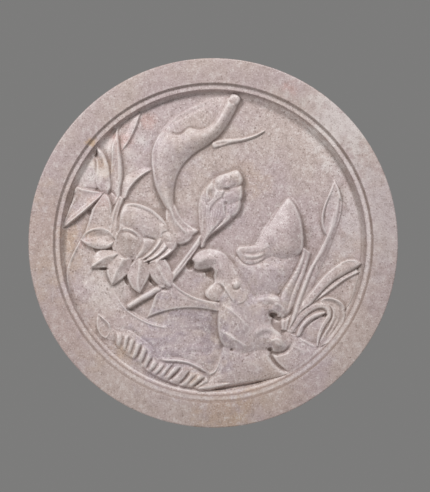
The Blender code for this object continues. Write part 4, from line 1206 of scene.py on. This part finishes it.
class Recipe:
    """Short calls for the nodes of a material."""

    def __init__(self, tree):
        self.tree = tree
        self.place = tree.nodes.new("ShaderNodeTexCoord").outputs["Object"]

    def join(self, source, socket):
        """Links another node's socket, or sets a number or a colour."""
        if isinstance(source, bpy.types.NodeSocket):
            self.tree.links.new(source, socket)
        elif socket.type == "RGBA":
            socket.default_value = (*source, 1.0)
        else:
            socket.default_value = source

    def noise(self, scale, detail, roughness, squeeze=(1, 1, 1)):
        """A cloudy pattern, fixed to the stone."""
        squeezed = self.tree.nodes.new("ShaderNodeVectorMath")
        squeezed.operation = "MULTIPLY"
        self.tree.links.new(self.place, squeezed.inputs[0])
        squeezed.inputs[1].default_value = squeeze
        node = self.tree.nodes.new("ShaderNodeTexNoise")
        node.inputs["Scale"].default_value = scale
        node.inputs["Detail"].default_value = detail
        node.inputs["Roughness"].default_value = roughness
        self.tree.links.new(squeezed.outputs["Vector"], node.inputs["Vector"])
        return node.outputs["Fac"]

    def between(self, value, low, high, start=0.0, end=1.0):
        """A smooth change from start to end while the value goes from low to high."""
        node = self.tree.nodes.new("ShaderNodeMapRange")
        node.interpolation_type = "SMOOTHSTEP"
        self.join(value, node.inputs["Value"])
        for name, number in (("From Min", low), ("From Max", high), ("To Min", start), ("To Max", end)):
            node.inputs[name].default_value = number
        return node.outputs["Result"]

    def maths(self, operation, one, other):
        """One step of arithmetic."""
        node = self.tree.nodes.new("ShaderNodeMath")
        node.operation = operation
        self.join(one, node.inputs[0])
        self.join(other, node.inputs[1])
        return node.outputs["Value"]

    def blend(self, share, one, other):
        """One colour covered by another to the share given."""
        node = self.tree.nodes.new("ShaderNodeMix")
        node.data_type = "RGBA"
        self.join(share, node.inputs["Factor"])
        self.join(one, node.inputs["A"])
        self.join(other, node.inputs["B"])
        return node.outputs["Result"]

    def off_line(self, x, z):
        """Distance from a line that runs square through the panel."""
        flat = self.tree.nodes.new("ShaderNodeVectorMath")
        flat.operation = "MULTIPLY"
        self.tree.links.new(self.place, flat.inputs[0])
        flat.inputs[1].default_value = (1, 0, 1)
        node = self.tree.nodes.new("ShaderNodeVectorMath")
        node.operation = "DISTANCE"
        self.tree.links.new(flat.outputs["Vector"], node.inputs[0])
        node.inputs[1].default_value = (x, 0, z)
        return node.outputs["Value"]

    def along(self, axis):
        """Distance from the panel's middle to the right along X, or up along Z."""
        split = self.tree.nodes.new("ShaderNodeSeparateXYZ")
        self.tree.links.new(self.place, split.inputs[0])
        return split.outputs[axis]

    def attribute(self, name):
        """A number that the mesh holds at each of its points."""
        node = self.tree.nodes.new("ShaderNodeAttribute")
        node.attribute_name = name
        return node.outputs["Fac"]

    def bump(self, height, distance, strength, below=None):
        """A fine roughness of the surface, laid over a coarser one where that is given."""
        node = self.tree.nodes.new("ShaderNodeBump")
        node.inputs["Distance"].default_value = distance
        node.inputs["Strength"].default_value = strength
        self.join(height, node.inputs["Height"])
        if below is not None:
            self.tree.links.new(below, node.inputs["Normal"])
        return node.outputs["Normal"]


# How fine the stone's patterns are, in waves to the metre
CLOUD_SCALE = 11
POOL_SCALE = 45
WISP_SCALE = 60
MOTTLE_SCALE = 170
SPOT_SCALE = 260
SPECK_SCALE = 520
GRAIN_SCALE = 1300

# How far the specks and the grain stand off the stone
SPECK_DEPTH = 0.5 * MM
GRAIN_DEPTH = 0.2 * MM

# How far behind the rim's face the stains, painted shade and painted highlight begin to fade, and where they
# end
FRONT_COLOUR_FADE = 18 * MM
FRONT_COLOUR_END = 24 * MM

# The flat rim is a little darker than the rest, from one radius on and in full from the other, in squares
RIM_FROM, RIM_IN_FULL = 160, 164
RIM_DIRT = 0.16


def in_front(recipe):
    """1 on the panel's front and its carving, 0 behind."""
    return recipe.between(recipe.along("Y"), SLAB_LOW.y + FRONT_COLOUR_END, SLAB_LOW.y + FRONT_COLOUR_FADE)


def patch_cover(recipe, x, y, reach, wisps):
    """How far a patch round a place on the front covers the stone, frayed by the wisps; it lays the stains
    and also painted shade and painted highlight.
    """
    away = recipe.maths("DIVIDE", recipe.off_line(x * SQUARE, y * SQUARE), reach * SQUARE)
    frayed = recipe.maths("ADD", away, recipe.between(wisps, 0.3, 0.7, -0.5, 0.5))
    return recipe.maths("MULTIPLY", recipe.between(frayed, 1.1, 0.2), in_front(recipe))


# Painted shade, with some dust, in the turned grooves and painted highlight on their edges: colour, radius,
# reach, share at foot, sides and top
GROOVE_SHADE_AND_HIGHLIGHT = [
    ("dust_and_painted_shade", 159.3, 2.0, (0.80, 0.74, 0.56)),
    ("dust_and_painted_shade", 153.4, 1.1, (0.60, 0.30, 0.16)),
    ("dust_and_painted_shade", 150.8, 4.2, (0.05, 0.50, 0.04)),
    ("pale_grain_and_highlight", 156.2, 2.0, (0.30, 0.18, 0.14)),
    ("pale_grain_and_highlight", 151.0, 1.4, (0.28, 0.04, 0.04)),
]

# The stains that show on the front, and the painted shade and painted highlight laid the same way: colour,
# place, reach and share
STAINS_AND_PAINTED_LIGHT = [
    ("pink", -93, 103, 16, 0.50),
    ("pink", 77, 155, 9, 0.45),
    ("pink", -66, 122, 9, 0.45),
    ("pink", -132, 0, 8, 0.50),
    ("pink", -12, -105, 12, 0.26),
    ("pink", -112, 44, 14, 0.22),
    ("ochre", -122, 101, 6, 0.85),
    ("ochre", -110, 78, 15, 0.50),
    ("ochre", -143, 6, 15, 0.30),
    ("ochre", 10, -172, 34, 0.42),
    ("ochre", -90, -110, 14, 0.42),
    ("ochre", -20, -136, 14, 0.40),
    ("ochre", -172, 10, 60, 0.22),
    ("ochre", -150, -90, 60, 0.16),
    ("ochre", 60, -162, 50, 0.16),
    ("ochre", 34, 62, 26, 0.22),
    # Pale patches; those beside the sickle leaf and on the rim's right and upper right are painted highlight
    ("pale_grain_and_highlight", -123, 69, 15, 0.55),
    ("pale_grain_and_highlight", -106, 97, 10, 0.55),
    ("pale_grain_and_highlight", -72, 105, 9, 0.50),
    ("pale_grain_and_highlight", -85, 90, 9, 0.30),
    ("pale_grain_and_highlight", -112, -46, 26, 0.30),
    ("pale_grain_and_highlight", 128, 118, 44, 0.60),
    ("pale_grain_and_highlight", 172, 30, 70, 0.30),
    ("slate", 52, -38, 34, 0.40),
    ("slate", 16, 52, 26, 0.30),
    ("slate", 8, 38, 30, 0.30),
    ("slate", -70, 20, 22, 0.28),
    ("slate", -12, -104, 16, 0.45),
    ("slate", -44, 84, 34, 0.32),
    ("slate", 30, -86, 42, 0.40),
    ("slate", 175, 10, 70, 0.22),
    ("slate", 96, -110, 30, 0.40),
    # Painted shade in the pits and gaps, inside the cup, under the rock's hook, on the hood's right flank,
    # beside the rock and on the lower rim
    ("dust_and_painted_shade", -99, 113, 5, 0.55),
    ("dust_and_painted_shade", -118.5, 90, 6, 0.60),
    ("dust_and_painted_shade", -143, 45, 8, 0.45),
    ("dust_and_painted_shade", -85, 1, 16, 0.40),
    ("dust_and_painted_shade", 89, 6, 14, 0.24),
    ("dust_and_painted_shade", 146, -27, 6, 0.40),
    ("dust_and_painted_shade", 1, -82, 12, 0.40),
    ("dust_and_painted_shade", -2, -97, 14, 0.36),
    ("dust_and_painted_shade", 0, -178, 90, 0.13),
    ("dust_and_painted_shade", -87.5, -38, 5, 0.65),
    ("dust_and_painted_shade", -61, -39, 6, 0.55),
    ("dust_and_painted_shade", -110, -25.5, 6, 0.55),
    ("dust_and_painted_shade", -22.5, -22, 6, 0.95),
    ("dust_and_painted_shade", -3, -30, 7, 0.95),
    ("dust_and_painted_shade", 60.5, -72.5, 5, 0.80),
]


def ring_cover(recipe, ring, reach, shares, wisps):
    """How far a ring round the panel covers the stone, its shares given at foot, sides and top."""
    at_foot, at_sides, at_top = shares
    off_ring = recipe.maths("ABSOLUTE", recipe.maths("SUBTRACT", recipe.off_line(0, 0), ring * SQUARE), 0.0)
    covered = recipe.between(off_ring, reach * SQUARE, 0.2 * reach * SQUARE)
    right, up = recipe.along("X"), recipe.along("Z")
    # The painted shade and highlight vary round the panel and grow towards the right
    below = recipe.between(up, -0.7 * PANEL_RADIUS, -0.2 * PANEL_RADIUS, at_foot, at_sides)
    above = recipe.between(up, 0.4 * PANEL_RADIUS, 0.75 * PANEL_RADIUS, 1.0, at_top / at_sides)
    rightward = recipe.between(right, -0.6 * PANEL_RADIUS, 0.6 * PANEL_RADIUS, 0.72, 1.08)
    patchy = recipe.between(wisps, 0.3, 0.6, 0.75, 1.0)
    share = recipe.maths("MULTIPLY", recipe.maths("MULTIPLY", below, above), rightward)
    covered = recipe.maths("MULTIPLY", covered, in_front(recipe))
    return recipe.maths("MULTIPLY", covered, recipe.maths("MULTIPLY", share, patchy))


def with_stains_and_painted_light(recipe, colours, colour, wisps):
    """The stone with its stains, with painted shade in pits and gaps and painted highlight on a few pale
    patches, and with the darker streaks in the pool's bed.
    """
    for name, x, y, reach, share in STAINS_AND_PAINTED_LIGHT:
        cover = recipe.maths("MULTIPLY", patch_cover(recipe, x, y, reach, wisps), share)
        colour = recipe.blend(cover, colour, getattr(colours, name))
    drift = recipe.noise(POOL_SCALE, 3, 0.6, squeeze=(0.35, 1, 2.2))
    bed = patch_cover(recipe, -34, -98, 54, wisps)
    bloom = recipe.maths("MULTIPLY", bed, recipe.between(drift, 0.40, 0.60, 0.3, 0.9))
    colour = recipe.blend(bloom, colour, colours.slate)
    deepest = patch_cover(recipe, -22, -105, 34, wisps)
    streaks = recipe.maths("MULTIPLY", deepest, recipe.between(drift, 0.44, 0.60, 0.0, 0.5))
    return recipe.blend(streaks, colour, colours.dust_and_painted_shade)


def grained(recipe, colours, colour, specks, grains):
    """The stone with its mottling, pale and dark specks, fine grain and a few larger dark spots."""
    mottle = recipe.noise(MOTTLE_SCALE, 3, 0.65)
    spots = recipe.noise(SPOT_SCALE, 1, 0.5)
    colour = recipe.blend(recipe.between(mottle, 0.50, 0.72, 0.0, 0.42), colour, colours.pale_grain_and_highlight)
    colour = recipe.blend(recipe.between(mottle, 0.50, 0.28, 0.0, 0.36), colour, colours.dark_grain)
    colour = recipe.blend(recipe.between(specks, 0.56, 0.72, 0.0, 0.66), colour, colours.pale_grain_and_highlight)
    colour = recipe.blend(recipe.between(specks, 0.43, 0.27, 0.0, 0.78), colour, colours.dark_grain)
    colour = recipe.blend(recipe.between(spots, 0.29, 0.22, 0.0, 0.7), colour, colours.dark_grain)
    return recipe.blend(recipe.between(grains, 0.25, 0.75, 0.16, 0.0), colour, colours.dark_grain)


def with_dust_and_painted_light(recipe, colours, colour, wisps):
    """The stone with dust and painted shade in its hollows and crevices, painted highlight on its edges,
    painted shade and highlight along the turned grooves, and its rim a little darker.
    """
    hollow, crevice = recipe.attribute("hollow"), recipe.attribute("crevice")
    # Painted shade, with some dust, in the hollows and crevices, and painted highlight on the edges and
    # ridges
    colour = recipe.blend(recipe.between(hollow, 0.2, 2.6, 0.0, 0.36), colour, colours.dust_and_painted_shade)
    colour = recipe.blend(recipe.between(crevice, 0.05, 0.9, 0.0, 0.36), colour, colours.dust_and_painted_shade)
    colour = recipe.blend(recipe.between(crevice, -0.05, -0.6, 0.0, 0.36), colour, colours.pale_grain_and_highlight)
    # Painted shade and painted highlight along the turned grooves
    for name, ring, reach, shares in GROOVE_SHADE_AND_HIGHLIGHT:
        cover = ring_cover(recipe, ring, reach, shares, wisps)
        colour = recipe.blend(cover, colour, getattr(colours, name))
    rim = recipe.between(recipe.off_line(0, 0), RIM_FROM * SQUARE, RIM_IN_FULL * SQUARE, 0.0, RIM_DIRT)
    return recipe.blend(recipe.maths("MULTIPLY", rim, in_front(recipe)), colour, colours.dust_and_painted_shade)


def waxed_sandstone(colours):
    """Fine-grained pinkish-beige sandstone, rubbed smooth and waxed, with its stains and a little dust, and
    with painted shade in its hollows, grooves and pits and painted highlight on its edges and a few pale
    patches.
    """
    material = bpy.data.materials.new("Waxed sandstone")
    tree, surface = new_nodes(material)
    recipe = Recipe(tree)
    wisps = recipe.noise(WISP_SCALE, 4, 0.6)
    specks = recipe.noise(SPECK_SCALE, 2, 0.6)
    grains = recipe.noise(GRAIN_SCALE, 1, 0.5)
    clouds = recipe.noise(CLOUD_SCALE, 3, 0.6)
    colour = recipe.blend(recipe.between(clouds, 0.38, 0.62), colours.beige, colours.rose)
    colour = with_stains_and_painted_light(recipe, colours, colour, wisps)
    colour = grained(recipe, colours, colour, specks, grains)
    colour = with_dust_and_painted_light(recipe, colours, colour, wisps)
    tree.links.new(colour, surface.inputs["Base Color"])
    tree.links.new(recipe.between(specks, 0.3, 0.7, 0.24, 0.52), surface.inputs["Roughness"])
    rough = recipe.bump(specks, SPECK_DEPTH, 0.6)
    tree.links.new(recipe.bump(grains, GRAIN_DEPTH, 0.4, rough), surface.inputs["Normal"])
    material.diffuse_color = (*colours.beige, 1.0)
    return material


def plain_surface(name, colour):
    """A matt surface of one colour, for the stage."""
    material = bpy.data.materials.new(name)
    _, surface = new_nodes(material)
    surface.inputs["Base Color"].default_value = (*colour, 1.0)
    surface.inputs["Roughness"].default_value = FLOOR_ROUGHNESS
    return material


def upright(vectors):
    """Turns vectors from the bench, where the panel lies on its back, to the wall."""
    return np.column_stack([vectors[:, 0], -vectors[:, 2], vectors[:, 1]])


# How near a point must lie to the fine sheet to be shaded by it, and the angle that leaves an edge sharp
NEAR_SHEET = 0.6 * MM
SHARP_ANGLE = math.radians(35)


def dress_face(stone, sheet):
    """Shades the carved face by the fine sheet that it was thinned from, and marks its hollows."""
    places = np.empty(3 * len(stone.vertices))
    stone.vertices.foreach_get("co", places)
    places = places.reshape(-1, 3)
    carved = np.hypot(places[:, 0], places[:, 1]) < sheet.radius
    x, y = places[carved, 0], places[carved, 1]
    carved[carved] = np.abs(sheet.at(sheet.level, x, y) - places[carved, 2]) < NEAR_SHEET
    x, y = places[carved, 0], places[carved, 1]
    for name, values in (("hollow", sheet.hollow), ("crevice", sheet.crevice)):
        depths = np.zeros(len(places))
        depths[carved] = sheet.at(values, x, y)
        stone.attributes.new(name, "FLOAT", "POINT").data.foreach_set("value", depths)
    facing = np.zeros((len(places), 3))
    facing[carved] = sheet.at(sheet.facing, x, y)
    corner_points = np.empty(len(stone.loops), int)
    stone.loops.foreach_get("vertex_index", corner_points)
    starts = np.empty(len(stone.polygons), int)
    stone.polygons.foreach_get("loop_start", starts)
    counts = np.empty(len(stone.polygons), int)
    stone.polygons.foreach_get("loop_total", counts)
    carved_faces = np.logical_and.reduceat(carved[corner_points], starts)
    stone.shade_smooth()
    stone.set_sharp_from_angle(angle=SHARP_ANGLE)
    stone.vertices.foreach_set("co", upright(places).ravel())
    kept = np.repeat(carved_faces, counts)[:, None]
    stone.normals_split_custom_set(upright(facing)[corner_points] * kept)


class RELIEF_OT_carve_panel(bpy.types.Operator):
    """Carve the round panel from one slab of sandstone"""

    bl_idname = "relief.carve_panel"
    bl_label = "Carve Panel"
    bl_options = {"REGISTER", "UNDO"}

    def execute(self, context):
        sizes = context.scene.relief_sizes
        slab = turned_slab(sizes)
        sheet = Sheet(sizes)
        blank = sheet.blank(sizes)
        union = slab.modifiers.new("Carved field", "BOOLEAN")
        union.operation = "UNION"
        union.solver = "EXACT"
        union.object = blank
        stone = bpy.data.meshes.new_from_object(slab.evaluated_get(context.evaluated_depsgraph_get()))
        bpy.data.objects.remove(slab)
        bpy.data.objects.remove(blank)
        dress_face(stone, sheet)
        stone.materials.clear()
        stone.materials.append(waxed_sandstone(context.scene.relief_colours))
        stone.name = "carved_stone"
        panel = bpy.data.objects.new("carved_stone", stone)
        context.scene.collection.objects.link(panel)
        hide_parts("relief_panel")
        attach(panel, "root")
        return {"FINISHED"}


LENS = 90.0  # in millimetres, on Blender's 36 mm sensor
FLOOR_SIDE = 4.0
FLOOR_DROP = 4 * PANEL_RADIUS
FLOOR_ROUGHNESS = 0.9
SURROUND_STRENGTH = 0.26

# The lamps: name, place, side in metres and power in watts
LAMPS = [
    ("Upper left light", (-1.25, -1.50, 1.05), 0.45, 27),
    ("Upper right light", (0.62, -1.45, 1.80), 0.55, 33),
]


def add_camera():
    """A camera square to the panel, with the panel where the photograph has it."""
    data = bpy.data.cameras.new("Camera")
    data.lens = LENS
    away = SQUARE * FRAME_HEIGHT * LENS / data.sensor_width
    camera = bpy.data.objects.new("Camera", data)
    camera.location = (
        (FRAME_WIDTH / 2 - PANEL_MIDDLE[0]) * SQUARE,
        SLAB_LOW.y - away,
        (PANEL_MIDDLE[1] - FRAME_HEIGHT / 2) * SQUARE,
    )
    camera.rotation_euler = (math.pi / 2, 0, 0)
    bpy.context.scene.collection.objects.link(camera)
    bpy.context.scene.camera = camera


def add_soft_light(name, place, side, power):
    """A square lamp that faces the panel's middle."""
    data = bpy.data.lights.new(name, "AREA")
    data.size = side
    data.energy = power
    lamp = bpy.data.objects.new(name, data)
    lamp.location = place
    lamp.rotation_euler = (-Vector(place)).to_track_quat("-Z", "Y").to_euler()
    bpy.context.scene.collection.objects.link(lamp)


class RELIEF_OT_set_stage(bpy.types.Operator):
    """Set the pale floor, the soft lights and the camera"""

    bl_idname = "relief.set_stage"
    bl_label = "Set Stage"
    bl_options = {"REGISTER", "UNDO"}

    def execute(self, context):
        colours = context.scene.relief_colours
        bpy.ops.mesh.primitive_plane_add(size=FLOOR_SIDE, location=(0, 0, -FLOOR_DROP))
        floor = context.object
        floor.name = "floor"
        floor.data.materials.append(plain_surface("Pale floor", colours.floor))
        world = bpy.data.worlds.new("Studio")
        world.use_nodes = True
        background = world.node_tree.nodes["Background"]
        background.inputs["Color"].default_value = (*colours.floor, 1.0)
        background.inputs["Strength"].default_value = SURROUND_STRENGTH
        context.scene.world = world
        for name, place, side, power in LAMPS:
            add_soft_light(name, place, side, power)
        context.scene.view_settings.view_transform = "Standard"
        add_camera()
        return {"FINISHED"}


class RELIEF_PT_workbench(bpy.types.Panel):
    """Sizes, colours and the steps that make the panel"""

    bl_label = "Stone Relief Panel"
    bl_idname = "RELIEF_PT_workbench"
    bl_space_type = "VIEW_3D"
    bl_region_type = "UI"
    bl_category = "Relief"

    def draw(self, context):
        for group in (context.scene.relief_sizes, context.scene.relief_colours):
            box = self.layout.box()
            for name in group.__annotations__:
                box.prop(group, name)
        for step in STEPS:
            self.layout.operator(step.bl_idname)


STEPS = (RELIEF_OT_carve_panel, RELIEF_OT_set_stage)
CLASSES = (PanelSizes, StoneColours, *STEPS, RELIEF_PT_workbench)


def register():
    """Makes the sizes, colours, steps and panel known to Blender."""
    for cls in CLASSES:
        bpy.utils.register_class(cls)
    bpy.types.Scene.relief_sizes = bpy.props.PointerProperty(type=PanelSizes)
    bpy.types.Scene.relief_colours = bpy.props.PointerProperty(type=StoneColours)


def unregister():
    """Takes back what register has done."""
    del bpy.types.Scene.relief_colours
    del bpy.types.Scene.relief_sizes
    for cls in reversed(CLASSES):
        bpy.utils.unregister_class(cls)


def main():
    """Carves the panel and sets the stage."""
    register()
    bpy.ops.relief.carve_panel()
    bpy.ops.relief.set_stage()


if __name__ == "__main__":
    main()
